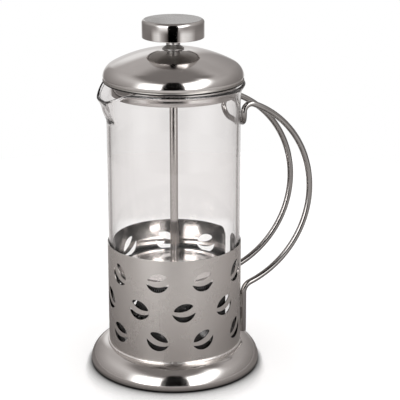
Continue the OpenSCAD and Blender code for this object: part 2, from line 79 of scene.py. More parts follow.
BASE_R = outer("base_shell")
PAN_R = outer("base_pan", 0)
PAN_TOP = highest("base_pan")
FOOT_R = outer("foot_ring")
FOOT_TOP = highest("foot_ring")
BAND_R = outer("band")
BAND_LOW = lowest("band")
BAND_TOP = highest("band")
WIRE_LOW = lowest("handle_wire")
GLASS_LOW = lowest("beaker")
GLASS_TOP = highest("beaker")
LID_R = outer("lid_dome")
LID_LOW = lowest("lid_dome")
LID_SEAT = highest("lid_dome")
SKIRT_R = outer("lid_skirt")
SKIRT_LOW = lowest("lid_skirt")
SKIRT_TOP = highest("lid_skirt")
BUSH_R = outer("guide_bush")
BUSH_LOW = lowest("guide_bush")
BUSH_TOP = highest("guide_bush")
ROD_R = outer("rod")
ROD_LOW = lowest("rod")
ROD_TOP = highest("rod")
PLATE_R = outer("spiral_plate")
PLATE_LOW = lowest("spiral_plate")
PLATE_TOP = highest("spiral_plate")
COIL_R = outer("edge_coil")
COIL_LOW = lowest("edge_coil")
COIL_TOP = highest("edge_coil")
KNOB_R = outer("knob_shell")
KNOB_LOW = lowest("knob_shell")
KNOB_TOP = highest("knob_shell")
NECK_LOW = lowest("knob_core")
NECK_TOP = highest("knob_core")


def length(name, text, value):
    """A distance shown in the scene's units."""
    return FloatProperty(name=name, description=text, default=value, min=0.0,
                         unit="LENGTH", subtype="DISTANCE")


def height(name, text, value):
    """A height above the table."""
    return FloatProperty(name=name, description=text, default=value, unit="LENGTH",
                         subtype="DISTANCE")


def turn(name, text, degrees):
    """An angle."""
    return FloatProperty(name=name, description=text, default=math.radians(degrees),
                         unit="ROTATION", subtype="ANGLE")


def colour(name, text, value):
    """A linear colour."""
    return FloatVectorProperty(name=name, description=text, default=value, size=3,
                               min=0.0, max=1.0, subtype="COLOR")


class PressBaseSizes(PropertyGroup):
    """Sizes of the base, its bead and its foot."""
    radius: length("Radius", "Outer radius of the base", BASE_R)
    top: height("Top", "Height of the base's flat top", PAN_TOP)
    shoulder: length("Shoulder", "Radius of the rounded shoulder", 10.5 * MM)
    sheet: length("Sheet", "Thickness of the pressed sheet", 0.8 * MM)
    roll: length("Rolled edge", "Radius of the rolled edge", 1.1 * MM)
    roll_z: height("Rolled edge height", "Height of the rolled edge's middle", 1.5 * MM)
    bead: length("Bead", "Radius of the bead under the band", 0.65 * MM)
    foot_width: length("Foot width", "Width of the rubber ring", 2.4 * MM)


class PressBandSizes(PropertyGroup):
    """Sizes of the perforated band."""
    radius: length("Radius", "Outer radius of the band", BAND_R)
    sheet: length("Sheet", "Thickness of the band", 0.4 * MM)
    low: height("Lower edge", "Height of the lower edge", BAND_LOW)
    top: height("Upper edge", "Height of the upper edge", BAND_TOP)
    seam_middle: turn("Seam", "Direction of the middle of the open seam", 8.0)
    seam_spread: turn("Seam opening", "Angle that the seam leaves open", 10.0)
    seam_corner: length("Seam corner", "Radius of the seam's upper corners", 4.5 * MM)
    bean_pitch: turn("Bean pitch", "Angle between beans in a row", 39.3)
    bean_first: turn("First bean", "Direction of a row's first bean", 38.5)
    bean_low: height("Lowest row", "Height of the lowest row of beans", 24.0 * MM)
    bean_step: length("Row step", "Height between two rows", 16.0 * MM)


class PressHandleSizes(PropertyGroup):
    """Sizes of the bent wire handle."""
    wire: length("Wire", "Radius of the wire", 1.58 * MM)
    spread: length("Spread", "Distance of a rail from the middle plane", 12.0 * MM)
    bow: length("Bow", "Radius of the big bow", 52.3 * MM)
    bow_x: length("Bow centre", "Distance of the bow's centre from the axis", 20.2 * MM)
    bow_z: height("Bow height", "Height of the bow's centre", 91.9 * MM)
    hook: length("Hook bend", "Bend radius at the glass", 4.0 * MM)
    leg: length("Leg bend", "Bend radius above the legs", 6.0 * MM)
    saddle: length("Saddle", "Distance of the saddle's wire from the axis", 36.15 * MM)
    saddle_drop: length("Saddle drop", "How far the saddle hangs down", 6.8 * MM)


class PressGlassSizes(PropertyGroup):
    """Sizes of the blown glass beaker."""
    radius: length("Radius", "Outer radius of the wall", 34.45 * MM)
    wall: length("Wall", "Thickness of the glass", 1.8 * MM)
    low: height("Underside", "Height of the underside", GLASS_LOW)
    top: height("Rim", "Height of the rim", GLASS_TOP)
    corner: length("Corner", "Radius of the bottom corner", 5.0 * MM)
    flare: length("Flare", "Radius of the curve that the rim flares along", 10.0 * MM)
    flare_out: length("Flare width", "How far the rim flares out", 2.2 * MM)
    lip: length("Lip", "Radius of the lip's bead", 0.8 * MM)
    spout_pull: length("Spout pull", "How far the spout is pulled out", 2.4 * MM)
    spout_dip: length("Spout dip", "How far the spout dips", 4.6 * MM)
    spout_reach: length("Spout spread", "How far the pull spreads", 15.0 * MM)
    spout_half: length("Spout half width", "Half the width that is pulled", 5.5 * MM)


class PressLidSizes(PropertyGroup):
    """Sizes of the lid, its skirt and its bush."""
    radius: length("Radius", "Outer radius of the lid", LID_R)
    low: height("Edge", "Height of the lid's edge", LID_LOW)
    seat: height("Seat", "Height of the flat seat on the crown", LID_SEAT)
    crown: length("Crown", "Radius of the crown", 66.8 * MM)
    brim: length("Brim", "Height of the widest line above the edge", 2.05 * MM)
    shoulder: length("Shoulder", "Radius of the rounded shoulder", 7.9 * MM)
    sheet: length("Sheet", "Thickness of the sheet", 0.8 * MM)
    skirt: length("Skirt", "Outer radius of the skirt", 32.3 * MM)
    barrel: length("Barrel", "Radius of the bush's barrel", 3.4 * MM)
    bore: length("Bore", "Radius of the bush's bore", 2.18 * MM)


class PressPlungerSizes(PropertyGroup):
    """Sizes of the rod, the plate, the coil and the knob."""
    rod: length("Rod", "Radius of the rod", ROD_R)
    plate: length("Plate", "Outer radius of the plate", PLATE_R)
    border: length("Border", "Width of the plate's flat border", 7.5 * MM)
    # Radius from which the plate's flat border is painted near-black as painted shade
    painted_shade_start: length("Groove", "Radius that the plate's dark border starts at", 29.2 * MM)
    plate_sheet: length("Plate sheet", "Thickness of the plate", 0.6 * MM)
    coil_wire: length("Coil wire", "Radius of the wire of the edge coil", 0.26 * MM)
    coil_turns: IntProperty(name="Coil turns", description="Turns of the edge coil",
                            default=180, min=20, max=400)
    knob: length("Knob", "Radius of the knob", KNOB_R)
    knob_round: length("Knob round", "Radius of the knob's upper edge", 1.8 * MM)
    knob_sheet: length("Knob sheet", "Thickness of the knob's cap", 0.8 * MM)
    neck: length("Neck", "Radius of the neck", 3.6 * MM)


class PressColours(PropertyGroup):
    """Colours of the finishes."""
    polished: colour("Polished steel", "Colour of the polished sheet", (0.66, 0.63, 0.61))
    satin: colour("Satin steel", "Colour of the brushed band", (0.655, 0.622, 0.597))
    plain: colour("Plain steel", "Colour of hidden steel", (0.52, 0.51, 0.50))
    # The knob's top is brushed, and painted darker than the polished steel as painted shade
    knob_top_shaded: colour("Knob top", "Colour of the knob's brushed top", (0.325, 0.313, 0.304))
    # Lighter than the polished steel, as painted light on the plate and the bead
    painted_light_fitting: colour("Fittings", "Colour of the plate and the bead", (0.94, 0.91, 0.89))
    # Near-black colour of the edge coil, as painted shade
    spring: colour("Spring", "Colour of the edge spring", (0.022, 0.021, 0.020))
    # Besides the welds, this colour is the darker steel painted as shade on the lid's hem, and
    # at half strength the woven cloth's darkened wires
    weld: colour("Weld", "Colour of the welds", (0.36, 0.34, 0.32))
    # Near-black colour of the plate's border: painted shade round the plate's edge
    border: colour("Border", "Colour of the plate's border", (0.008, 0.0075, 0.007))
    # Also the near-black of the steel painted as shade on the base's disc and under the lid's
    # hem
    rubber: colour("Rubber", "Colour of the rubber", (0.022, 0.022, 0.022))
    glass: colour("Glass", "Colour of the glass", (0.995, 0.986, 0.983))
    floor: colour("Floor", "Colour of the floor", (0.9, 0.9, 0.9))


class PressStage(PropertyGroup):
    """Camera, floor and room."""
    camera_place: FloatVectorProperty(
        name="Camera", description="Place of the camera", size=3,
        default=(-0.2416, -0.6503, 0.30758), unit="LENGTH", subtype="TRANSLATION")
    camera_down: turn("Tilt", "How far the camera looks down", 17.446)
    camera_turn: turn("Turn", "Direction that the camera looks along", -21.5)
    lens: FloatProperty(name="Lens", description="Focal length", default=125.1, min=1.0,
                        unit="CAMERA")
    floor: length("Floor", "Radius of the floor", 0.42)


# Outlines are lists of (distance from the axis, height)

def arc(centre, radius, start, end, count):
    """Points along an arc, with angles in degrees from the outward direction."""
    points = []
    for i in range(count + 1):
        a = math.radians(start + (end - start) * i / count)
        points.append((centre[0] + radius * math.cos(a), centre[1] + radius * math.sin(a)))
    return points


def line(start, end, count):
    """Points along a straight run, both ends included."""
    return [(start[0] + (end[0] - start[0]) * i / count,
             start[1] + (end[1] - start[1]) * i / count) for i in range(count + 1)]


def tidy(outline):
    """The outline without points that fall on the one before."""
    kept = [outline[0]]
    for point in outline[1:]:
        if math.dist(point, kept[-1]) > 2 * SAME_POINT:
            kept.append(point)
    return kept


# Modelling steps

def clear_selection():
    """Leaves edit mode and deselects everything."""
    if bpy.context.object and bpy.context.object.mode != "OBJECT":
        bpy.ops.object.mode_set(mode="OBJECT")
    bpy.ops.object.select_all(action="DESELECT")


def pick(piece):
    """Makes a piece the only one selected, and the active one."""
    clear_selection()
    bpy.context.view_layer.objects.active = piece
    piece.select_set(True)


def single_point(name, place):
    """A new mesh of one selected vertex, left in edit mode."""
    clear_selection()
    bpy.ops.mesh.primitive_plane_add(size=MM, location=(0, 0, 0))
    piece = bpy.context.object
    piece.name = name
    piece.data.name = name
    bpy.ops.object.mode_set(mode="EDIT")
    bpy.ops.mesh.select_mode(type="VERT")
    bpy.ops.mesh.select_all(action="SELECT")
    bpy.ops.mesh.merge(type="CENTER")
    bpy.ops.transform.translate(value=place)
    return piece


def draw(points):
    """Extrudes the selected vertex from point to point."""
    for before, after in zip(points, points[1:]):
        step = Vector(after) - Vector(before)
        bpy.ops.mesh.extrude_region_move(TRANSFORM_OT_translate={"value": step})


def close_up():
    """Merges doubles and turns every face outwards."""
    bpy.ops.mesh.select_all(action="SELECT")
    bpy.ops.mesh.remove_doubles(threshold=SAME_POINT)
    bpy.ops.mesh.normals_make_consistent(inside=False)


def smooth(piece, degrees=30.0):
    """Smooth shading with sharp edges kept."""
    pick(piece)
    bpy.ops.object.shade_smooth_by_angle(angle=math.radians(degrees))


def turned(name, outline, steps=160, closed=True):
    """Spins an outline round the axis of the press."""
    outline = tidy(outline)
    if closed:
        outline = outline + [outline[0]]
    points = [(x, 0.0, z) for x, z in outline]
    piece = single_point(name, points[0])
    draw(points)
    bpy.ops.mesh.select_all(action="SELECT")
    bpy.ops.mesh.remove_doubles(threshold=SAME_POINT)
    bpy.ops.mesh.select_all(action="SELECT")
    bpy.ops.mesh.spin(steps=steps, angle=2 * math.pi, center=(0, 0, 0), axis=(0, 0, 1))
    close_up()
    smooth(piece)
    return piece


def prism(name, outline, near, depth):
    """A flat outline of (across, up) drawn at a distance and extruded outwards."""
    points = [(near, x, z) for x, z in tidy(outline)]
    piece = single_point(name, points[0])
    draw(points)
    bpy.ops.mesh.select_all(action="SELECT")
    bpy.ops.mesh.edge_face_add()
    bpy.ops.mesh.extrude_region_move(TRANSFORM_OT_translate={"value": (depth, 0, 0)})
    close_up()
    bpy.ops.object.mode_set(mode="OBJECT")
    return piece


def wire(name, points, radius, closed=False, sides=3):
    """A round wire along points, made from a path and turned into a mesh."""
    clear_selection()
    bpy.ops.curve.primitive_nurbs_path_add(location=(0, 0, 0))
    path = bpy.context.object
    path.name = name
    curve = path.data
    curve.splines.clear()
    spline = curve.splines.new("POLY")
    spline.points.add(len(points) - 1)
    for point, place in zip(spline.points, points):
        point.co = (place[0], place[1], place[2], 1.0)
    spline.use_cyclic_u = closed
    spline.use_smooth = True
    curve.dimensions = "3D"
    curve.twist_mode = "MINIMUM"
    curve.bevel_depth = radius
    curve.bevel_resolution = sides
    curve.use_fill_caps = not closed
    bpy.ops.object.convert(target="MESH")
    piece = bpy.context.object
    piece.data.name = name
    bpy.ops.object.mode_set(mode="EDIT")
    close_up()
    smooth(piece)
    return piece


def cut(piece, tool):
    """Subtracts a tool from a piece and removes the tool."""
    pick(piece)
    bpy.ops.object.modifier_add(type="BOOLEAN")
    modifier = piece.modifiers[-1]
    modifier.operation = "DIFFERENCE"
    modifier.solver = "EXACT"
    modifier.object = tool
    bpy.ops.object.modifier_apply(modifier=modifier.name)
    bpy.data.objects.remove(tool)


def choose(piece, test):
    """Selects the vertices whose place passes a test, and stays in edit mode."""
    pick(piece)
    bpy.ops.object.mode_set(mode="EDIT")
    bpy.ops.mesh.select_mode(type="VERT")
    bpy.ops.mesh.select_all(action="DESELECT")
    bpy.ops.object.mode_set(mode="OBJECT")
    found = 0
    for vertex in piece.data.vertices:
        vertex.select = bool(test(vertex.co))
        found += vertex.select
    if not found:
        raise RuntimeError(f"nothing to select on {piece.name}")
    bpy.ops.object.mode_set(mode="EDIT")


def join(pieces, name):
    """Joins pieces into the first of them."""
    clear_selection()
    for piece in pieces:
        piece.select_set(True)
    bpy.context.view_layer.objects.active = pieces[0]
    bpy.ops.object.join()
    piece = bpy.context.object
    piece.name = name
    bpy.ops.object.transform_apply(location=True, rotation=True, scale=True)
    bpy.ops.object.mode_set(mode="EDIT")
    bpy.ops.mesh.select_all(action="SELECT")
    bpy.ops.mesh.normals_make_consistent(inside=False)
    bpy.ops.object.mode_set(mode="OBJECT")
    return piece


def seat(piece, body, slot, materials, *nodes):
    """Gives a piece its body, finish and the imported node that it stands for."""
    clear_selection()
    piece.data.materials.clear()
    for material in materials:
        piece.data.materials.append(material)
    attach(piece, body)
    if nodes:
        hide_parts(*nodes)
    return piece


# Shader nodes

class Graph:
    """Adds nodes to a tree and joins them."""

    def __init__(self, tree):
        self.tree = tree

    def add(self, kind, inputs=None, **settings):
        """A new node with its inputs given and its settings set."""
        node = self.tree.nodes.new(kind)
        for key, value in settings.items():
            setattr(node, key, value)
        for key, value in (inputs or {}).items():
            self.give(node.inputs[key], value)
        return node

    def give(self, socket, value):
        """Joins a socket to another, or sets its value."""
        if isinstance(value, bpy.types.NodeSocket):
            self.tree.links.new(value, socket)
        else:
            socket.default_value = value

    def math(self, operation, a, b=0.0, c=0.0):
        """The result of one operation."""
        return self.add("ShaderNodeMath", {0: a, 1: b, 2: c}, operation=operation).outputs[0]

    def times(self, a, b):
        """The product of two values."""
        return self.math("MULTIPLY", a, b)

    def parts(self, vector):
        """A vector's three numbers."""
        return self.add("ShaderNodeSeparateXYZ", {0: vector}).outputs

    def span(self, value, low, high, to_low, to_high):
        """A value moved from one range to another, and kept inside it."""
        node = self.add("ShaderNodeMapRange", {"Value": value, "From Min": low,
                                               "From Max": high, "To Min": to_low,
                                               "To Max": to_high})
        return node.outputs[0]

    def step(self, value, low, high):
        """Zero up to low and one from high on, with a smooth rise between."""
        node = self.add("ShaderNodeMapRange", {"Value": value, "From Min": low,
                                               "From Max": high},
                        interpolation_type="SMOOTHSTEP")
        return node.outputs[0]

    def blend(self, factor, a, b):
        """A colour between two colours."""
        node = self.add("ShaderNodeMix", {0: factor, 6: a, 7: b}, data_type="RGBA")
        return node.outputs[2]

    def toward(self, start, end, factor):
        """Moves a value from start to end."""
        node = self.add("ShaderNodeMix", {0: factor, 2: start, 3: end}, data_type="FLOAT")
        return node.outputs[0]

    def window(self, value, rise, fall):
        """One between two soft edges, zero outside them."""
        return self.times(self.step(value, *rise), self.step(value, fall[1], fall[0]))

    def levels(self, angle, stops):
        """A value that runs from level to level as an angle goes from -180 to 180."""
        ramp = self.add("ShaderNodeValToRGB",
                        {"Fac": self.span(angle, -180.0, 180.0, 0.0, 1.0)})
        elements = ramp.color_ramp.elements
        while len(elements) > 1:
            elements.remove(elements[0])
        for i, (degrees, level) in enumerate(stops):
            stop = elements[0] if i == 0 else elements.new((degrees + 180) / 360)
            stop.position = (degrees + 180) / 360
            stop.color = (level, level, level, 1.0)
        return self.add("ShaderNodeSeparateColor", {0: ramp.outputs[0]}).outputs[0]

    def warm(self, value):
        """A grey that turns slightly warm as it gets darker."""
        low = self.math("MINIMUM", value, 1.0)
        green = self.times(value, self.math("MULTIPLY_ADD", low, 0.08, 0.92))
        blue = self.times(value, self.math("MULTIPLY_ADD", low, 0.11, 0.89))
        return self.add("ShaderNodeCombineColor", {0: value, 1: green, 2: blue}).outputs[0]

    def noise(self, vector, scale, detail, roughness=0.5):
        """Cloudy noise from zero to one."""
        node = self.add("ShaderNodeTexNoise", {"Vector": vector, "Scale": scale,
                                               "Detail": detail, "Roughness": roughness})
        return node.outputs[0]


def effect(name, values, outputs):
    """Turns a function that fills a node tree into one that gives the finished group."""
    def wrap(fill):
        """Keeps the filling function for when the group is first asked for."""
        def give():
            """Returns the group, and makes it on first use."""
            group = bpy.data.node_groups.get(name)
            if group:
                return group
            group = bpy.data.node_groups.new(name, "ShaderNodeTree")
            sockets = group.interface
            sockets.new_socket(name="Vector", in_out="INPUT", socket_type="NodeSocketVector")
            for label, value in values.items():
                socket = sockets.new_socket(name=label, in_out="INPUT",
                                            socket_type="NodeSocketFloat")
                socket.default_value = value
            for label in outputs:
                sockets.new_socket(name=label, in_out="OUTPUT",
                                   socket_type="NodeSocketFloat")
            given = group.nodes.new("NodeGroupInput").outputs
            result = group.nodes.new("NodeGroupOutput").inputs
            fill(Graph(group), given, result)
            return group
        return give
    return wrap


@effect("Turned Grain", {"Lines": 3000.0, "Waver": 1.5}, ["Grain"])
def turned_grain(graph, given, result):
    """Fine rings left by polishing on a lathe."""
    x, y, z = graph.parts(given["Vector"])
    square = graph.math("MULTIPLY_ADD", y, y, graph.times(x, x))
    across = graph.times(graph.math("SQRT", square), given["Lines"])
    rise = graph.times(z, given["Lines"])
    angle = graph.times(graph.math("ARCTAN2", y, x), given["Waver"])
    place = graph.add("ShaderNodeCombineXYZ", {0: across, 1: rise, 2: angle}).outputs[0]
    graph.give(result["Grain"], graph.noise(place, 1.0, 3.0, 0.6))


@effect("Drawn Grain", {"Lines": 180.0, "Waver": 60.0}, ["Grain"])
def drawn_grain(graph, given, result):
    """Fine streaks along the axis, left by drawing and brushing."""
    x, y, z = graph.parts(given["Vector"])
    angle = graph.math("ARCTAN2", y, x)
    across_x = graph.times(graph.math("COSINE", angle), given["Lines"])
    across_y = graph.times(graph.math("SINE", angle), given["Lines"])
    rise = graph.times(z, given["Waver"])
    place = graph.add("ShaderNodeCombineXYZ",
                      {0: across_x, 1: across_y, 2: rise}).outputs[0]
    graph.give(result["Grain"], graph.noise(place, 1.0, 4.0, 0.65))


@effect("Handling Marks", {"Scale": 40.0}, ["Smudge", "Scratch"])
def handling_marks(graph, given, result):
    """Smudges and hairline scratches from use."""
    vector, scale = given["Vector"], given["Scale"]
    smudge = graph.step(graph.noise(vector, scale, 4.0, 0.55), 0.42, 0.66)
    graph.give(result["Smudge"], smudge)
    hairs = []
    for spin, squeeze in ((0.4, (60.0, 2.0, 9.0)), (1.9, (9.0, 70.0, 2.5))):
        turned_place = graph.add("ShaderNodeMapping", {
            "Vector": vector, "Rotation": (spin, 0.3, spin), "Scale": squeeze}).outputs[0]
        hairs.append(graph.step(graph.noise(turned_place, scale, 2.0), 0.69, 0.73))
    graph.give(result["Scratch"], graph.math("MAXIMUM", *hairs))


@effect("Woven Mesh", {"Wires": 9000.0}, ["Height", "Gap"])
def woven_mesh(graph, given, result):
    """Over-and-under relief of a fine wire cloth."""
    x, y, _ = graph.parts(given["Vector"])
    along = graph.math("SINE", graph.times(x, given["Wires"]))
    across = graph.math("SINE", graph.times(y, given["Wires"]))
    lift = graph.math("ABSOLUTE", graph.times(along, across))
    graph.give(result["Height"], graph.math("SQRT", lift))
    graph.give(result["Gap"], graph.step(lift, 0.12, 0.02))


def blank(name):
    """A new material with only a shader and an output."""
    material = bpy.data.materials.new(name)
    material.use_nodes = True
    material.node_tree.nodes.clear()
    graph = Graph(material.node_tree)
    shader = graph.add("ShaderNodeBsdfPrincipled")
    result = graph.add("ShaderNodeOutputMaterial")
    graph.give(result.inputs["Surface"], shader.outputs[0])
    place = graph.add("ShaderNodeTexCoord").outputs["Object"]
    return material, graph, shader, place


def rgba(values, scale=1.0):
    """A colour with full alpha."""
    return (values[0] * scale, values[1] * scale, values[2] * scale, 1.0)


def placed(graph, group, inputs):
    """A node group placed in a material with its own values."""
    node = graph.add("ShaderNodeGroup", node_tree=group)
    for key, value in inputs.items():
        graph.give(node.inputs[key], value)
    return node


def marks_on(graph, place, scale):
    """Masks of the smudges and of the scratches at a scale."""
    node = placed(graph, handling_marks(), {"Vector": place, "Scale": scale})
    return node.outputs["Smudge"], node.outputs["Scratch"]


def bump(graph, shader, strength, distance, height_map):
    """Gives a shader fine relief."""
    node = graph.add("ShaderNodeBump", {"Strength": strength, "Distance": distance,
                                        "Height": height_map})
    graph.give(shader.inputs["Normal"], node.outputs[0])


GRAIN_DEPTH = 0.06 * MM


def steel(name, tint, rough, grain, lines, waver, relief, marks=40.0, shade=0.9, deep=0.2):
    """Steel whose grain, smudges and scratches change its tone, gloss and relief."""
    material, graph, shader, place = blank(name)
    grain = placed(graph, grain, {"Vector": place, "Lines": lines, "Waver": waver})
    grain = grain.outputs["Grain"]
    smudge, scratch = marks_on(graph, place, marks)
    tone = graph.math("MULTIPLY_ADD", smudge, 0.5, graph.times(grain, 0.5))
    graph.give(shader.inputs["Base Color"],
               graph.blend(tone, rgba(tint), rgba(tint, shade)))
    gloss = graph.math("MULTIPLY_ADD", smudge, rough * 0.35, rough * 0.7)
    gloss = graph.math("MULTIPLY_ADD", grain, rough * 0.3, gloss)
    gloss = graph.math("MULTIPLY_ADD", scratch, rough * 2.5 * deep, gloss)
    graph.give(shader.inputs["Roughness"], gloss)
    shader.inputs["Metallic"].default_value = 1.0
    bump(graph, shader, relief, GRAIN_DEPTH,
         graph.math("MULTIPLY_ADD", scratch, -deep, grain))
    return material


def steels(colours):
    """The steels: name, label, colour, roughness, grain, its lines, waver and relief."""
    lathe, brush = turned_grain(), drawn_grain()
    polished, plain, painted_light_fitting = colours.polished, colours.plain, colours.painted_light_fitting
    return (
        ("polished", "Polished Sheet Steel", polished, 0.10, lathe, 2600.0, 1.2, 0.02, {}),
        ("knob", "Polished Knob Steel", polished, 0.07, lathe, 1800.0, 0.8, 0.012,
         {"shade": 0.7}),
        # Brushed steel for the knob's top, darkened as painted shade
        ("knob_top_shaded", "Brushed Knob Top With Painted Shade", colours.knob_top_shaded, 0.30, lathe, 5200.0, 2.0, 0.04,
         {"deep": 0.03}),
        ("base", "Polished Base Steel", polished, 0.13, lathe, 900.0, 2.4, 0.05,
         {"marks": 28.0, "shade": 0.95}),
        ("neck", "Turned Fitting Steel", plain, 0.36, lathe, 2600.0, 1.0, 0.03, {}),
        # Darker steel on the lid's hem, as painted shade
        ("hem", "Rolled Hem Painted Shade Steel", colours.weld, 0.34, lathe, 2600.0, 1.2, 0.02, {}),
        # Near-black steel as painted shade on the base's disc and under the lid's hem
        ("shaded_pan", "Painted Shade Pan Steel", colours.rubber, 0.42, lathe, 1400.0, 2.0, 0.05, {}),
        # Near-black steel for the plate's border, as painted shade
        ("border", "Painted Shade Border Steel", colours.border, 0.42, lathe, 1400.0, 2.0, 0.05, {}),
        # The plate and the bead use a colour lighter than the polished steel, as painted light
        ("plate", "Pressed Plate Steel", painted_light_fitting, 0.20, lathe, 1500.0, 1.5, 0.04, {}),
        ("satin", "Satin Band Steel", colours.satin, 0.30, brush, 300.0, 8.0, 0.05,
         {"marks": 30.0, "shade": 0.86, "deep": 0.0}),
        ("bead", "Dull Bead Steel", painted_light_fitting, 0.24, lathe, 900.0, 2.0, 0.03, {}),
        ("rod", "Ground Rod Steel", polished, 0.14, lathe, 4000.0, 0.6, 0.02, {}),
        ("plain", "Plain Steel", plain, 0.28, lathe, 1800.0, 2.5, 0.25, {}),
        ("weld", "Weld Steel", colours.weld, 0.38, lathe, 2400.0, 30.0, 0.9,
         {"marks": 220.0, "shade": 0.6}),
        # Near-black steel for the edge coil, as painted shade
        ("spring", "Painted Shade Spring Wire", colours.spring, 0.30, lathe, 2400.0, 12.0, 0.1,
         {"marks": 90.0, "shade": 0.5}),
    )


def build_finishes(colours):
    """All the materials, by name."""
    finishes = {}
    for name, label, tint, rough, grain, lines, waver, relief, more in steels(colours):
        finishes[name] = steel(label, tint, rough, grain, lines, waver, relief, **more)
    finishes["inside"] = inner_wall(colours)
    finishes["wire"] = drawn_wire(colours)
    finishes["woven"] = woven_steel(colours)
    finishes["glass"] = clear_glass(colours)
    finishes["rubber"] = black_rubber(colours)
    return finishes


def drawn_wire(colours):
    """Bright drawn wire whose turned-away sides are darkened as painted shade."""
    material, graph, shader, place = blank("Drawn Handle Wire")
    smudge, scratch = marks_on(graph, place, 70.0)
    lines = placed(graph, drawn_grain(), {"Vector": place, "Lines": 260.0, "Waver": 20.0})
    # Painted shade: the colour darkens where the wire turns away from the view, mixed with
    # real smudges
    side = graph.add("ShaderNodeLayerWeight", {"Blend": 0.5}).outputs["Facing"]
    dark = graph.times(graph.step(side, 0.35, 0.8), 0.85)
    tone = graph.math("MAXIMUM", dark, graph.times(smudge, 0.15))
    graph.give(shader.inputs["Base Color"],
               graph.blend(tone, rgba(colours.polished, 0.55), rgba(colours.polished, 0.12)))
    gloss = graph.math("MULTIPLY_ADD", lines.outputs["Grain"], 0.02, 0.05)
    graph.give(shader.inputs["Roughness"], graph.math("MULTIPLY_ADD", scratch, 0.05, gloss))
    shader.inputs["Metallic"].default_value = 1.0
    bump(graph, shader, 0.01, GRAIN_DEPTH, lines.outputs["Grain"])
    return material


def inner_wall(colours):
    """Inside of the band: near-black as painted shade, with a painted highlight band round it
    and painted reflection spots above that.
    """
    material, graph, shader, place = blank("Band Inside Steel")
    smudge, _ = marks_on(graph, place, 40.0)
    lines = placed(graph, drawn_grain(), {"Vector": place, "Lines": 90.0, "Waver": 12.0})
    height_here = graph.parts(place)[2]
    strip_low, strip_top = (51.5 * MM, 52.5 * MM), (57.5 * MM, 58.8 * MM)
    painted_highlight_strip = graph.window(height_here, strip_low, strip_top)
    above = graph.step(height_here, *strip_top)
    # Noise spots of painted reflection above the painted highlight band, and near-black
    # painted shade below it
    painted_reflection_patches = graph.span(graph.noise(place, 80.0, 2.0), 0.44, 0.59, 0.16, 0.92)
    tone = graph.math("MULTIPLY_ADD", above, painted_reflection_patches, painted_highlight_strip)
    graph.give(shader.inputs["Base Color"],
               graph.blend(tone, rgba(colours.polished, 0.04), rgba(colours.polished)))
    gloss = graph.span(tone, 0.0, 1.0, 0.22, 0.07)
    graph.give(shader.inputs["Roughness"], graph.math("MULTIPLY_ADD", smudge, 0.05, gloss))
    shader.inputs["Metallic"].default_value = 1.0
    bump(graph, shader, 0.03, GRAIN_DEPTH, lines.outputs["Grain"])
    return material


def woven_steel(colours):
    """Fine wire cloth, darkened as painted shade, with near-black painted shade in the gaps of
    the weave.
    """
    material, graph, shader, place = blank("Woven Steel Cloth")
    weave = placed(graph, woven_mesh(), {"Vector": place, "Wires": 9000.0})
    smudge, _ = marks_on(graph, place, 60.0)
    # Painted shade: darkened wires and near-black gaps between them
    shade = graph.blend(weave.outputs["Gap"], rgba(colours.weld, 0.5), (0.01, 0.01, 0.01, 1.0))
    graph.give(shader.inputs["Base Color"], shade)
    graph.give(shader.inputs["Roughness"], graph.span(smudge, 0.0, 1.0, 0.28, 0.45))
    shader.inputs["Metallic"].default_value = 1.0
    bump(graph, shader, 0.8, 0.1 * MM, weave.outputs["Height"])
    return material


def clear_glass(colours):
    """Blown glass with faint waves, smudges and hairlines."""
    material, graph, shader, place = blank("Clear Beaker Glass")
    smudge, scratch = marks_on(graph, place, 26.0)
    shader.inputs["Metallic"].default_value = 0.0
    shader.inputs["Transmission Weight"].default_value = 1.0
    shader.inputs["IOR"].default_value = 1.37
    graph.give(shader.inputs["Base Color"],
               graph.blend(smudge, rgba(colours.glass), rgba(colours.glass, 0.985)))
    graph.give(shader.inputs["Roughness"],
               graph.math("MULTIPLY_ADD", scratch, 0.03, graph.times(smudge, 0.012)))
    bump(graph, shader, 0.05, 0.6 * MM, graph.noise(place, 45.0, 1.0))
    return material


def black_rubber(colours):
    """Moulded rubber with dust in its grain."""
    material, graph, shader, place = blank("Black Rubber")
    smudge, _ = marks_on(graph, place, 90.0)
    graph.give(shader.inputs["Base Color"],
               graph.blend(graph.times(smudge, 0.35), rgba(colours.rubber),
                           (0.09, 0.088, 0.085, 1.0)))
    graph.give(shader.inputs["Roughness"], graph.span(smudge, 0.0, 1.0, 0.62, 0.85))
    bump(graph, shader, 0.35, 0.2 * MM, graph.noise(place, 1500.0, 3.0))
    return material


FINISHES = {}


def finish(name):
    """A finish by name, made on first use."""
    if not FINISHES:
        FINISHES.update(build_finishes(bpy.context.scene.press_colours))
    return FINISHES[name]


def paint(node, name):
    """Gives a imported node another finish."""
    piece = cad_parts[node]
    if not piece.material_slots:
        piece.data.materials.append(finish(name))
    for slot in piece.material_slots:
        slot.material = finish(name)


# Pieces

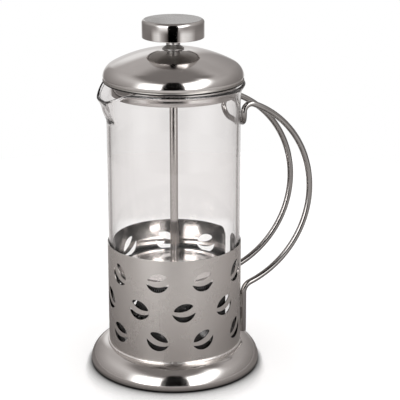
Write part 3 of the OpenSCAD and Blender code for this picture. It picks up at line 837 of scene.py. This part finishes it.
class PRESS_OT_base(Operator):
    """Pressed base with a rounded shoulder, a rolled edge and a bead"""
    bl_idname = "press.base"
    bl_label = "Base"

    def execute(self, context):
        size = context.scene.press_base
        bend = (size.radius - size.shoulder, size.top - size.shoulder)
        roll = (size.radius - size.roll, size.roll_z)
        under = size.top - size.sheet
        outline = [(PAN_R, under), (PAN_R, size.top)]
        outline += arc(bend, size.shoulder, 90, 0, 30)
        outline += arc(roll, size.roll, 0, -205, 18)
        outline += arc(bend, size.shoulder - size.sheet, 4, 90, 20)
        piece = turned("pressed_base", outline, 192)
        seat(piece, "stand", "polished_steel", [finish("base")], "base_shell")
        bead_out, bead_up = 0.65 * MM, 0.39 * MM    # from where the flat top ends
        centre = (bend[0] + bead_out, size.top + bead_up)
        ring = turned("band_bead", arc(centre, size.bead, 0, 342, 19), 192)
        seat(ring, "stand", "polished_steel", [finish("bead")])
        rim, edge = PAN_R - FIT, 0.15 * MM
        disc = [(0, under), (rim, under)]
        disc += arc((rim - edge, size.top - edge), edge, 0, 90, 4)
        disc += [(0, size.top)]
        # The disc under the band is near-black steel as painted shade
        shaded_pan = turned("base_disc", disc, 128, closed=False)
        seat(shaded_pan, "stand", "plain_steel", [finish("shaded_pan")], "base_pan")
        return {"FINISHED"}


class PRESS_OT_foot(Operator):
    """Rubber ring under the base"""
    bl_idname = "press.foot"
    bl_label = "Foot ring"

    def execute(self, context):
        size = context.scene.press_base
        edge = 0.35 * MM
        near, far = FOOT_R - size.foot_width + edge, FOOT_R - edge
        high = FOOT_TOP - edge
        outline = arc((far, high), edge, 0, 90, 5)
        outline += arc((near, high), edge, 90, 180, 5)
        outline += arc((near, edge), edge, 180, 270, 5)
        outline += arc((far, edge), edge, 270, 360, 5)
        ring = turned("rubber_foot", outline, 128)
        seat(ring, "stand", "black_rubber", [finish("rubber")], "foot_ring")
        return {"FINISHED"}


def bean_outlines():
    """The rounded lobe and the crescent of one bean, worked out in millimetres."""
    discs = (((0.8, -2.35), 7.2), ((-1.2, 11.1), 10.5), ((-0.6, 2.4), 5.5))
    heart = (-0.3, 2.6)     # a point inside all three discs
    lobe = []
    for i in range(72):
        a = 2 * math.pi * i / 72
        ray = (math.cos(a), math.sin(a))
        reach = []
        for (x, y), radius in discs:
            off = (heart[0] - x, heart[1] - y)
            along = off[0] * ray[0] + off[1] * ray[1]
            spare = radius ** 2 - off[0] ** 2 - off[1] ** 2 + along ** 2
            reach.append(-along + math.sqrt(spare))
        lobe.append(((heart[0] + min(reach) * ray[0]) * MM,
                     (heart[1] + min(reach) * ray[1]) * MM))
    near, near_r = Vector((0.0, 1.0)), 6.2
    far, far_r = Vector((0.3, 9.0)), 11.2
    gap = far - near
    along = (near_r ** 2 - far_r ** 2 + gap.length_squared) / (2 * gap.length)
    across = math.sqrt(near_r ** 2 - along ** 2)
    unit = gap.normalized()
    side = Vector((-unit.y, unit.x))
    left = near + unit * along + side * across
    right = near + unit * along - side * across

    def heading(point, centre):
        """Direction of a point from a centre, in degrees."""
        return math.degrees(math.atan2(point.y - centre.y, point.x - centre.x))

    start, end = heading(left, near), heading(right, near)
    if start < 0:
        start += 360
    if end < start:
        end += 360
    back_from, back_to = heading(right, far), heading(left, far)
    crescent = arc(near, near_r, start, end, 36) + arc(far, far_r, back_from, back_to, 24)
    crescent = [(x * MM, y * MM) for x, y in crescent[:-1]]
    return lobe, crescent


TOOL_REACH = 3 * MM     # how far the cutting tools stand off both sides of the band
OUTWARD = 0.5           # cosine beyond which a face counts as turned outwards


class PRESS_OT_band(Operator):
    """Perforated sleeve round the glass, with an open seam"""
    bl_idname = "press.band"
    bl_label = "Band"

    def execute(self, context):
        size = context.scene.press_band
        inner = size.radius - size.sheet
        outline = [(inner, size.low), (size.radius, size.low),
                   (size.radius, size.top), (inner, size.top)]
        band = turned("perforated_band", outline, 360)
        cut(band, self.seam(size))
        cut(band, self.beans(size))
        smooth(band)
        seat(band, "stand", "satin_steel",
             [finish("satin"), finish("inside")], "band")
        middle = size.radius - size.sheet / 2
        for face in band.data.polygons:
            out = Vector((face.center.x, face.center.y, 0.0))
            facing = face.normal.dot(out.normalized())
            face.material_index = 0 if facing > OUTWARD and out.length > middle else 1
        return {"FINISHED"}

    def seam(self, size):
        """Tool that opens the seam and rounds its upper corners."""
        half = size.radius * math.sin(size.seam_spread / 2)
        bend = size.seam_corner
        top, low = size.top, size.low - MM
        outline = [(-half, low)]
        outline += arc((-half - bend, top - bend), bend, 0, 90, 12)
        outline += [(-half - bend, top + TOOL_REACH), (half + bend, top + TOOL_REACH)]
        outline += arc((half + bend, top - bend), bend, 90, 180, 12)
        outline += [(half, low)]
        tool = prism("seam_tool", outline, size.radius - TOOL_REACH, 2 * TOOL_REACH)
        tool.matrix_world = Matrix.Rotation(size.seam_middle, 4, "Z")
        return tool

    def beans(self, size):
        """Tool that cuts three rows of beans."""
        lobe, crescent = bean_outlines()
        near, deep = size.radius - TOOL_REACH, 2 * TOOL_REACH
        master = join([prism("lobe_tool", lobe, near, deep),
                       prism("crescent_tool", crescent, near, deep)], "bean_tool")
        # Shift in pitches, row number and tilts in degrees; a minus mirrors the bean
        rows = (
            (0.0, 2, (-12, 12, -34, 15, -38, 3, 9, 36)),
            (0.57, 1, (14, -20, 8, -30, -12, 5, 18)),
            (0.0, 0, (-15, 22, -10, 18, -8, -17, 22, 35)),
        )
        tools = []
        for shift, row, tilts in rows:
            for i, tilt in enumerate(tilts):
                angle = size.bean_first + (shift + i) * size.bean_pitch
                tool = master.copy()
                tool.data = master.data.copy()
                bpy.context.scene.collection.objects.link(tool)
                flip = Matrix.Scale(-1 if tilt < 0 else 1, 4, (0, 1, 0))
                lean = Matrix.Rotation(math.radians(tilt), 4, "X")
                rise = Matrix.Translation((0, 0, size.bean_low + row * size.bean_step))
                tool.matrix_world = Matrix.Rotation(angle, 4, "Z") @ rise @ lean @ flip
                tools.append(tool)
        bpy.data.objects.remove(master)
        return join(tools, "bean_tools")


def saddle_point(size, along, z):
    """A place on the saddle, given the distance along it from its middle."""
    a = along / size.saddle
    return (size.saddle * math.cos(a), size.saddle * math.sin(a), z)


def handle_path(size, leg_low):
    """Centre line of the whole handle wire, from one leg's end to the other's."""
    weld_gap = 0.02 * MM
    leg_r = BAND_R + weld_gap + size.wire
    leg_x = math.sqrt(leg_r ** 2 - size.spread ** 2)
    hook_x = math.sqrt(size.saddle ** 2 - size.spread ** 2)
    hook_cx = hook_x + size.hook
    hook_from = math.acos((hook_cx - size.bow_x) / (size.bow - size.hook))
    hook_cz = size.bow_z + (size.bow - size.hook) * math.sin(hook_from)
    leg_cx = leg_x + size.leg
    leg_from = -math.acos((leg_cx - size.bow_x) / (size.bow + size.leg))
    leg_cz = size.bow_z + (size.bow + size.leg) * math.sin(leg_from)
    leg_to, hook_to = math.degrees(leg_from), math.degrees(hook_from)
    flat = line((leg_x, leg_low), (leg_x, leg_cz), 6)
    flat += arc((leg_cx, leg_cz), size.leg, 180, 180 + leg_to, 14)[1:]
    flat += arc((size.bow_x, size.bow_z), size.bow, leg_to, hook_to, 64)[1:]
    flat += arc((hook_cx, hook_cz), size.hook, hook_to, 180, 16)[1:]
    points = [(x, -size.spread, z) for x, z in flat]
    drop = size.saddle_drop
    flat_half = size.saddle * math.asin(size.spread / size.saddle) - drop
    bend_steps, flat_steps = 14, 6
    for i in range(1, bend_steps + 1):
        a = math.pi / 2 * i / bend_steps
        points.append(saddle_point(size, -(flat_half + drop * math.cos(a)),
                                   hook_cz - drop * math.sin(a)))
    for i in range(1, flat_steps + 1):
        points.append(saddle_point(size, -flat_half * (1 - i / flat_steps), hook_cz - drop))
    return points + [(x, -y, z) for x, y, z in reversed(points[:-1])]


class PRESS_OT_handle(Operator):
    """Bent wire handle with two legs, two rails and a saddle loop"""
    bl_idname = "press.handle"
    bl_label = "Handle"

    def execute(self, context):
        size = context.scene.press_handle
        points = handle_path(size, WIRE_LOW)
        piece = wire("wire_handle", points, size.wire, sides=6)
        seat(piece, "stand", "polished_steel", [finish("wire")], "handle_wire")
        paint("leg_welds", "weld")
        return {"FINISHED"}


class PRESS_OT_beaker(Operator):
    """Blown glass beaker with a flared rim and a pulled spout"""
    bl_idname = "press.beaker"
    bl_label = "Beaker"

    def execute(self, context):
        size = context.scene.press_glass
        out, wall, corner = size.radius, size.wall, size.corner
        inner, inner_corner = out - wall, corner - wall
        floor, bend_low = size.low + wall, size.low + corner
        spread = math.degrees(math.acos(1 - size.flare_out / size.flare))
        lean = 90 - spread
        middle = size.flare + wall / 2
        lip_z = size.top - size.lip
        flare_z = lip_z - middle * math.sin(math.radians(spread))
        fine_z = flare_z - 22 * MM      # the wall has finer rings from here up
        flare = (out + size.flare, flare_z)
        lip = (flare[0] - middle * math.cos(math.radians(spread)), lip_z)
        flare_end = 180 - spread + 2    # the lip's bead takes over here
        outline = line((0, size.low), (out - corner, size.low), 6)
        outline += arc((out - corner, bend_low), corner, -90, 0, 12)
        outline += line((out, bend_low), (out, fine_z), 4)
        outline += line((out, fine_z), (out, flare_z), 18)
        outline += arc(flare, size.flare, 180, flare_end, 8)
        outline += arc(lip, size.lip, lean - 70, lean + 160, 12)
        outline += arc(flare, size.flare + wall, flare_end, 180, 8)
        outline += line((inner, flare_z), (inner, fine_z), 18)
        outline += line((inner, fine_z), (inner, floor + inner_corner), 4)
        outline += arc((inner - inner_corner, floor + inner_corner), inner_corner, 0, -90, 10)
        outline += line((inner - inner_corner, floor), (0, floor), 6)
        piece = turned("glass_beaker", outline, 192, closed=False)
        self.pull_spout(piece, size, lip)
        smooth(piece, 50.0)
        seat(piece, "jug", "clear_glass", [finish("glass")], "beaker")
        return {"FINISHED"}

    def pull_spout(self, piece, size, lip):
        """Pulls the rim out and down, first widely and a little, then at the spout."""
        low = lip[1] - 1.5 * MM
        # Half width, how far out, how far down and how far the pull spreads
        pulls = ((2.4 * size.spout_half, 0.5 * MM, 1.2 * MM, 0.8 * size.spout_reach),
                 (size.spout_half, size.spout_pull, size.spout_dip, size.spout_reach))
        for half, out, down, reach in pulls:
            choose(piece, lambda v: v.x < 0 and abs(v.y) < half and v.z > low - down)
            bpy.ops.transform.translate(value=(-out, 0, -down),
                                        use_proportional_edit=True,
                                        proportional_edit_falloff="SMOOTH",
                                        proportional_size=reach)
        bpy.ops.mesh.select_all(action="SELECT")
        bpy.ops.mesh.normals_make_consistent(inside=False)


class PRESS_OT_lid(Operator):
    """Domed lid, its skirt and the bush that guides the rod"""
    bl_idname = "press.lid"
    bl_label = "Lid"

    def execute(self, context):
        size = context.scene.press_lid
        sheet, out = size.sheet, size.radius
        wide_z = size.low + size.brim
        bend_x = out - size.shoulder
        lean = math.degrees(math.asin(bend_x / (size.crown - size.shoulder)))
        crown_z = wide_z - math.sqrt((size.crown - size.shoulder) ** 2 - bend_x ** 2)
        flat = math.sqrt(size.crown ** 2 - (size.seat - crown_z) ** 2)
        start = math.degrees(math.asin(flat / size.crown))
        hole = size.barrel + FIT
        centre, bend = (0, crown_z), (bend_x, wide_z)
        hem, hem_top, shade_line = 0.8 * MM, wide_z - 0.35 * MM, wide_z - 0.3 * MM
        notch_in, notch_down, hem_width = 0.5 * MM, 0.2 * MM, 1.4 * MM
        outline = [(hole, size.seat)]
        outline += arc(centre, size.crown, 90 - start, 90 - lean, 44)
        outline += arc(bend, size.shoulder, 90 - lean, 7, 26)
        outline += [(out - notch_in, wide_z - notch_down)]
        outline += arc((out - hem, hem_top - hem), hem, 50, -90, 12)
        outline += [(out - hem_width, hem_top - 2 * hem)]
        outline += arc(bend, size.shoulder - sheet, 0, 90 - lean, 20)
        outline += arc(centre, size.crown - sheet, 90 - lean, 90 - start, 30)
        outline += [(hole, size.seat - sheet)]
        dome = turned("domed_lid", outline, 224)
        seat(dome, "lid", "polished_steel",
             [finish("polished"), finish("hem"), finish("shaded_pan")], "lid_dome")
        # Below the shade line the hem gets darker steel and the part below it near-black
        # steel, both as painted shade
        for face in dome.data.polygons:
            z = face.center.z
            face.material_index = (z < shade_line) + (z < shade_line - hem)
        self.skirt(size)
        self.bush(size)
        paint("guide_washer", "rubber")
        paint("guide_nut", "plain")
        return {"FINISHED"}

    def skirt(self, size):
        """Ring that reaches into the glass, with a flange that lies on the rim."""
        sheet, out = size.sheet, size.skirt
        inner, flange = out - sheet, SKIRT_TOP - sheet
        edge, fillet, rim = 0.25 * MM, 0.5 * MM, 0.3 * MM
        inner_fillet, inner_edge = 0.6 * MM, 0.2 * MM
        outline = arc((out - edge, SKIRT_LOW + edge), edge, -90, 0, 4)
        outline += arc((out + fillet, flange - fillet), fillet, 180, 90, 6)
        outline += arc((SKIRT_R - rim, flange + rim), rim, -90, 0, 4)
        outline += [(SKIRT_R, SKIRT_TOP)]
        outline += arc((inner + inner_fillet, SKIRT_TOP - inner_fillet), inner_fillet,
                       90, 180, 6)
        outline += arc((inner + inner_edge, SKIRT_LOW + inner_edge), inner_edge, 180, 270, 4)
        ring = turned("lid_skirt_ring", outline, 192)
        seat(ring, "lid", "polished_steel", [finish("knob")], "lid_skirt")

    def bush(self, size):
        """Flanged bush that the rod runs through."""
        edge, rim, crest, mouth = 0.25 * MM, 0.3 * MM, 0.6 * MM, 0.4 * MM
        outline = [(size.bore, BUSH_LOW + edge), (size.bore + edge, BUSH_LOW)]
        outline += [(size.barrel - edge, BUSH_LOW), (size.barrel, BUSH_LOW + edge)]
        outline += [(size.barrel, size.seat)]
        outline += arc((BUSH_R - rim, size.seat + rim), rim, -90, 70, 8)
        outline += arc((size.barrel - 0.1 * MM, BUSH_TOP - crest), crest, 55, 90, 5)
        outline += arc((size.bore + mouth, BUSH_TOP - mouth), mouth, 90, 180, 5)
        bush = turned("guide_bushing", outline, 96)
        seat(bush, "lid", "polished_steel", [finish("neck")], "guide_bush")


class PRESS_OT_plunger(Operator):
    """Rod, plunger plate, edge coil and the nut under them"""
    bl_idname = "press.plunger"
    bl_label = "Plunger"

    def execute(self, context):
        size = context.scene.press_plunger
        edge = 0.3 * MM
        low, high = ROD_LOW + edge, ROD_TOP - edge
        outline = [(0, ROD_LOW)]
        outline += arc((size.rod - edge, low), edge, -90, 0, 4)
        outline += line((size.rod, low), (size.rod, high), 8)
        outline += arc((size.rod - edge, high), edge, 0, 90, 4)
        outline += [(0, ROD_TOP)]
        rod = turned("plunger_rod", outline, 64, closed=False)
        seat(rod, "plunger", "polished_steel", [finish("rod")], "rod")
        self.plate(size)
        self.coil(size)
        paint("filter_screen", "woven")
        paint("cross_plate", "plain")
        paint("filter_nut", "plain")
        return {"FINISHED"}

    def plate(self, size):
        """Plate with a flat border, a step up and a domed middle."""
        sheet = size.plate_sheet
        border_z = PLATE_LOW + sheet
        step_x, step_z = size.plate - size.border, border_z + 0.9 * MM
        foot, crest = 0.3 * MM, 0.35 * MM       # bends at the step's foot and top
        run, rise = step_x - sheet, PLATE_TOP - step_z
        dome = (run ** 2 + rise ** 2) / (2 * rise)
        centre = (0, PLATE_TOP - dome)
        first = math.degrees(math.asin((size.rod + FIT) / dome))
        last = math.degrees(math.asin(run / dome))
        outline = arc((size.plate - sheet / 2, border_z - sheet / 2), sheet / 2, -90, 90, 8)
        outline += [(size.painted_shade_start, border_z)]
        outline += arc((step_x + foot, border_z + foot), foot, 270, 180, 4)
        outline += arc((step_x - crest, step_z - crest), crest, 0, 80, 5)
        outline += arc(centre, dome, 90 - last, 90 - first, 24)
        outline += arc(centre, dome - sheet, 90 - first, 90 - last, 24)
        outline += [(step_x - sheet, border_z - sheet)]
        plate = turned("plunger_plate", outline, 192)
        seat(plate, "plunger", "polished_steel", [finish("plate"), finish("border")],
             "spiral_plate")
        # Faces beyond that radius get the near-black border steel as painted shade
        for face in plate.data.polygons:
            across = math.hypot(face.center.x, face.center.y)
            face.material_index = 1 if across > size.painted_shade_start else 0

    def coil(self, size):
        """Spring wound round the edge of the plate, in near-black steel as painted shade."""
        thick = (COIL_TOP - COIL_LOW) / 2
        ring = COIL_R - thick
        middle = (COIL_TOP + COIL_LOW) / 2
        small = thick - size.coil_wire
        per_turn = 12
        count = size.coil_turns * per_turn
        points = []
        for i in range(count):
            around = 2 * math.pi * i / count
            turned_by = 2 * math.pi * i / per_turn
            reach = ring + small * math.cos(turned_by)
            points.append((reach * math.cos(around), reach * math.sin(around),
                           middle + small * math.sin(turned_by)))
        coil = wire("edge_spring", points, size.coil_wire, closed=True, sides=1)
        seat(coil, "plunger", "plain_steel", [finish("spring")], "edge_coil")


# Faces that slant up beyond this are brushed, and painted darker as painted shade
BRUSHED_TOP = 0.93      # upward slant beyond which the knob is brushed


class PRESS_OT_knob(Operator):
    """Drum-shaped knob and the neck under it"""
    bl_idname = "press.knob"
    bl_label = "Knob"

    def execute(self, context):
        size = context.scene.press_plunger
        sheet, bend, edge = size.knob_sheet, size.knob_round, 0.3 * MM
        inner_bend = bend - sheet
        bend_x, inner_top = size.knob - bend, KNOB_TOP - sheet
        outline = line((0, KNOB_TOP), (bend_x, KNOB_TOP), 6)
        outline += arc((bend_x, KNOB_TOP - bend), bend, 90, 0, 14)
        outline += arc((size.knob - edge, KNOB_LOW + edge), edge, 0, -90, 5)
        outline += [(size.knob - sheet, KNOB_LOW)]
        outline += arc((size.knob - sheet - inner_bend, inner_top - inner_bend),
                       inner_bend, 0, 90, 8)
        outline += [(0, inner_top)]
        cap = turned("knob_cap", outline, 160, closed=False)
        seat(cap, "knob", "polished_steel", [finish("knob"), finish("knob_top_shaded")],
             "knob_shell")
        for face in cap.data.polygons:
            face.material_index = 1 if face.normal.z > BRUSHED_TOP else 0
        self.neck(size)
        return {"FINISHED"}

    def neck(self, size):
        """Disc inside the cap and the neck that takes the rod's end."""
        disc_r, disc_low = size.knob - size.knob_sheet, KNOB_LOW + 0.6 * MM
        fillet, edge = 1.0 * MM, 0.25 * MM
        bore, bore_top = size.rod + FIT, ROD_TOP + FIT
        outline = [(bore, NECK_LOW + edge), (bore + edge, NECK_LOW)]
        outline += arc((size.neck - edge, NECK_LOW + edge), edge, -90, 0, 4)
        outline += arc((size.neck + fillet, disc_low - fillet), fillet, 180, 90, 8)
        outline += [(disc_r - edge, disc_low), (disc_r, disc_low + edge)]
        outline += [(disc_r, NECK_TOP), (0, NECK_TOP)]
        outline += [(0, bore_top), (bore, bore_top), (bore, NECK_LOW + edge)]
        neck = turned("knob_neck", outline, 96, closed=False)
        seat(neck, "knob", "polished_steel", [finish("neck")], "knob_core")


# Stage

SOFTBOX = 4.0           # brightness of the softboxes
SLOT = 0.004            # brightness of the dark slot between them


def from_camera(graph, place, stage):
    """A place's three numbers, turned so that the camera's side is on the second's minus."""
    node = graph.add("ShaderNodeMapping",
                     {"Vector": place, "Rotation": (0, 0, -stage.camera_turn)})
    return graph.parts(node.outputs[0])


def mirrored(graph, ray):
    """One for rays that a bright surface has mirrored."""
    return graph.math("GREATER_THAN", ray["Glossy Depth"], 0.5)


def directions(graph, stage):
    """Compass angle from the camera's side and height angle, both in degrees."""
    place = graph.add("ShaderNodeTexCoord").outputs["Generated"]
    x, y, z = from_camera(graph, place, stage)
    around = graph.math("DEGREES", graph.math("ARCTAN2", x, graph.times(y, -1.0)))
    return around, graph.math("DEGREES", graph.math("ARCSINE", z))


def walls(graph, around, up):
    """Grey walls under a ceiling that is darkest on the camera's side."""
    sides = graph.levels(around, (
        (-180, 0.52), (-140, 0.50), (-110, 0.60), (-82, 0.66), (-60, 0.72), (0, 0.6),
        (66, 0.72), (82, 0.60), (97, 0.50), (125, 0.42), (155, 0.42), (180, 0.52)))
    storeys = graph.levels(up, (
        (-180, 0.55), (-10, 0.55), (9, 0.75), (21, 0.92), (33, 1.15), (50, 1.2), (180, 1.0)))
    ceiling = graph.levels(around, (
        (-180, 0.58), (-100, 0.62), (-66, 0.50), (-24, 0.22), (24, 0.22), (66, 0.46),
        (100, 0.58), (180, 0.56)))
    seen = graph.toward(graph.times(sides, storeys), ceiling, graph.step(up, 40.0, 52.0))
    return graph.toward(seen, 0.25, graph.step(up, 48.0, 62.0))


def left_softbox(graph, around, up):
    """Where the softbox on the left is."""
    across = graph.window(around, (-84.0, -42.0), (-21.0, -14.5))
    tall = graph.window(up, (-26.0, 4.0), (31.0, 55.0))
    return graph.math("POWER", graph.times(across, tall), 3.0)


def right_softbox(graph, around, up):
    """Where the wider softbox on the right is, whose far edge leans outwards."""
    lean = graph.math("MAXIMUM", graph.math("SUBTRACT", up, 5.0), 0.0)
    spread = graph.math("MULTIPLY_ADD", lean, -0.8, around)
    across = graph.times(graph.step(around, 16.5, 22.0), graph.step(spread, 72.0, 32.0))
    slanted = graph.math("MULTIPLY_ADD", around, -0.2, up)
    tall = graph.window(slanted, (-26.0, 2.0), (34.0, 62.0))
    return graph.math("POWER", graph.times(across, tall), 3.0)


def dark_slot(graph, around, up):
    """Where the slot between the softboxes is, which narrows towards the ceiling."""
    above = graph.math("MAXIMUM", graph.math("SUBTRACT", up, 30.0), 0.0)
    aside = graph.math("ABSOLUTE", graph.math("SUBTRACT", around, 1.0))
    widened = graph.math("ADD", aside, graph.times(above, 0.20))
    return graph.times(graph.step(widened, 20.5, 16.5), graph.step(up, 64.0, 55.0))


def skirting(graph, around):
    """Brightness of the foot of the walls."""
    return graph.levels(around, (
        (-180, 0.30), (-88, 0.26), (-72, 0.90), (-54, 1.15), (-42, 0.60), (-30, 0.32),
        (-19, 0.08), (-16, 0.0), (16, 0.0), (19, 0.25), (24, 0.40), (29, 1.0), (37, 1.28),
        (45, 1.2), (58, 1.10), (72, 0.85), (92, 0.34), (180, 0.30)))


def mirrored_room(graph, around, up):
    """Two tall softboxes in a grey room, with a dark slot between them."""
    seen = walls(graph, around, up)
    seen = graph.toward(seen, SOFTBOX, left_softbox(graph, around, up))
    seen = graph.toward(seen, SOFTBOX, right_softbox(graph, around, up))
    seen = graph.toward(seen, SLOT, dark_slot(graph, around, up))
    seen = graph.toward(seen, skirting(graph, around), graph.step(up, -8.0, -14.0))
    seen = graph.toward(seen, 0.45, graph.step(up, -22.0, -30.0))
    behind = graph.step(graph.math("ABSOLUTE", around), 150.0, 160.0)
    seen = graph.toward(seen, 0.72, graph.times(behind, graph.step(up, -2.0, -8.0)))
    backdrop = graph.math("MAXIMUM", graph.step(around, -154.0, -166.0),
                          graph.step(around, 171.0, 178.0))
    backdrop = graph.times(backdrop, graph.window(up, (-8.0, -2.0), (22.0, 32.0)))
    return graph.toward(seen, graph.span(up, 8.0, 16.0, 0.76, 1.05), backdrop)


def room(world, stage):
    """White backdrop, soft light for matt surfaces and softboxes for bright ones."""
    world.use_nodes = True
    world.node_tree.nodes.clear()
    graph = Graph(world.node_tree)
    around, up = directions(graph, stage)
    ray = graph.add("ShaderNodeLightPath").outputs
    through = graph.toward(0.30, 0.84, graph.step(up, 46.0, 22.0))
    seen = graph.toward(1.0, through, ray["Is Transmission Ray"])
    seen = graph.toward(seen, mirrored_room(graph, around, up), mirrored(graph, ray))
    rise = graph.math("MAXIMUM", graph.math("SINE", graph.math("RADIANS", up)), 0.0)
    soft = graph.math("MULTIPLY_ADD", rise, 1.35, 0.1)
    seen = graph.toward(seen, soft, ray["Is Diffuse Ray"])
    back = graph.add("ShaderNodeBackground", {"Color": graph.warm(seen), "Strength": 1.0})
    result = graph.add("ShaderNodeOutputWorld")
    graph.give(result.inputs["Surface"], back.outputs[0])


def contact_shade(graph, front):
    """Dark where something is near, over a longer way on the camera's side."""
    reach = graph.math("POWER", graph.math("MAXIMUM", front, 0.0), 1.5)
    reach = graph.math("MULTIPLY_ADD", reach, 0.017, 0.003)
    near = graph.add("ShaderNodeAmbientOcclusion", {"Distance": reach}, samples=8)
    return graph.math("POWER", near.outputs["AO"], 2.6)


def floor_finish(colours, stage):
    """Matt white floor that stays white where nothing shades it."""
    material, graph, shader, place = blank("Studio Floor")
    ray = graph.add("ShaderNodeLightPath").outputs
    away = graph.add("ShaderNodeVectorMath", {0: place}, operation="LENGTH").outputs["Value"]
    toward_camera = graph.times(from_camera(graph, place, stage)[1], -1.0)
    front = graph.math("DIVIDE", toward_camera, away)
    # Painted light and shade on the floor: seen through the glass it is darker beyond 0.236 m,
    # and seen in mirrors it is darker near the press, lighter on the camera's side and
    # straight behind
    through = graph.toward(1.0, 0.848, graph.step(away, 0.236, 0.252))
    bright = graph.times(graph.span(front, -0.8, 0.9, 0.30, 0.62),
                         graph.span(away, 0.06, 0.19, 0.64, 1.2))
    bright = graph.toward(bright, 0.74, graph.step(front, -0.80, -0.92))
    tone = graph.toward(colours.floor[0], through, ray["Is Transmission Ray"])
    tone = graph.toward(tone, bright, mirrored(graph, ray))
    speckle = graph.span(graph.noise(place, 30.0, 3.0), 0.3, 0.7, 0.985, 1.0)
    tone = graph.warm(graph.times(tone, speckle))
    contact = contact_shade(graph, front)
    graph.give(shader.inputs["Base Color"], graph.blend(contact, (0, 0, 0, 1), tone))
    shader.inputs["Roughness"].default_value = 1.0
    shader.inputs["Specular IOR Level"].default_value = 0.0
    shader.inputs["Emission Color"].default_value = (1.0, 1.0, 1.0, 1.0)
    lift = graph.times(graph.times(ray["Is Camera Ray"], 0.24), contact)
    graph.give(shader.inputs["Emission Strength"], lift)
    return material


class PRESS_OT_stage(Operator):
    """White floor and room, and the camera"""
    bl_idname = "press.stage"
    bl_label = "Stage"

    def execute(self, context):
        scene = context.scene
        stage = scene.press_stage
        clear_selection()
        bpy.ops.mesh.primitive_circle_add(vertices=96, radius=stage.floor,
                                          fill_type="NGON", location=(0, 0, 0))
        floor = context.object
        floor.name = "studio_floor"
        floor.data.materials.append(floor_finish(scene.press_colours, stage))
        clear_selection()
        bpy.ops.object.camera_add(
            location=stage.camera_place,
            rotation=(math.pi / 2 - stage.camera_down, 0, stage.camera_turn))
        camera = context.object
        camera.name = "studio_camera"
        camera.data.lens = stage.lens
        camera.data.sensor_width = 36.0
        scene.camera = camera
        if scene.world is None:
            scene.world = bpy.data.worlds.new("Studio Room")
        room(scene.world, stage)
        scene.world.cycles.sampling_method = "NONE"
        scene.view_settings.view_transform = "Standard"
        return {"FINISHED"}


class PRESS_PT_panel(Panel):
    """Lists the pieces of the press"""
    bl_label = "French Press"
    bl_idname = "PRESS_PT_panel"
    bl_space_type = "VIEW_3D"
    bl_region_type = "UI"
    bl_category = "French Press"

    def draw(self, context):
        for step in STEPS:
            self.layout.operator(step.bl_idname, text=step.bl_label)


GROUPS = (
    (PressBaseSizes, "press_base"), (PressBandSizes, "press_band"),
    (PressHandleSizes, "press_handle"), (PressGlassSizes, "press_glass"),
    (PressLidSizes, "press_lid"), (PressPlungerSizes, "press_plunger"),
    (PressColours, "press_colours"), (PressStage, "press_stage"),
)
STEPS = (PRESS_OT_base, PRESS_OT_foot, PRESS_OT_band, PRESS_OT_handle, PRESS_OT_beaker,
         PRESS_OT_lid, PRESS_OT_plunger, PRESS_OT_knob, PRESS_OT_stage)


def register():
    """Registers the settings, the operators and the panel."""
    for group, name in GROUPS:
        bpy.utils.register_class(group)
        setattr(bpy.types.Scene, name, PointerProperty(type=group))
    for step in STEPS:
        bpy.utils.register_class(step)
    bpy.utils.register_class(PRESS_PT_panel)


def unregister():
    """Removes what register added."""
    bpy.utils.unregister_class(PRESS_PT_panel)
    for step in reversed(STEPS):
        bpy.utils.unregister_class(step)
    for group, name in reversed(GROUPS):
        delattr(bpy.types.Scene, name)
        bpy.utils.unregister_class(group)


def main():
    """Builds every piece and the stage."""
    register()
    bpy.ops.press.base()
    bpy.ops.press.foot()
    bpy.ops.press.band()
    bpy.ops.press.handle()
    bpy.ops.press.beaker()
    bpy.ops.press.lid()
    bpy.ops.press.plunger()
    bpy.ops.press.knob()
    bpy.ops.press.stage()


if __name__ == "__main__":
    main()
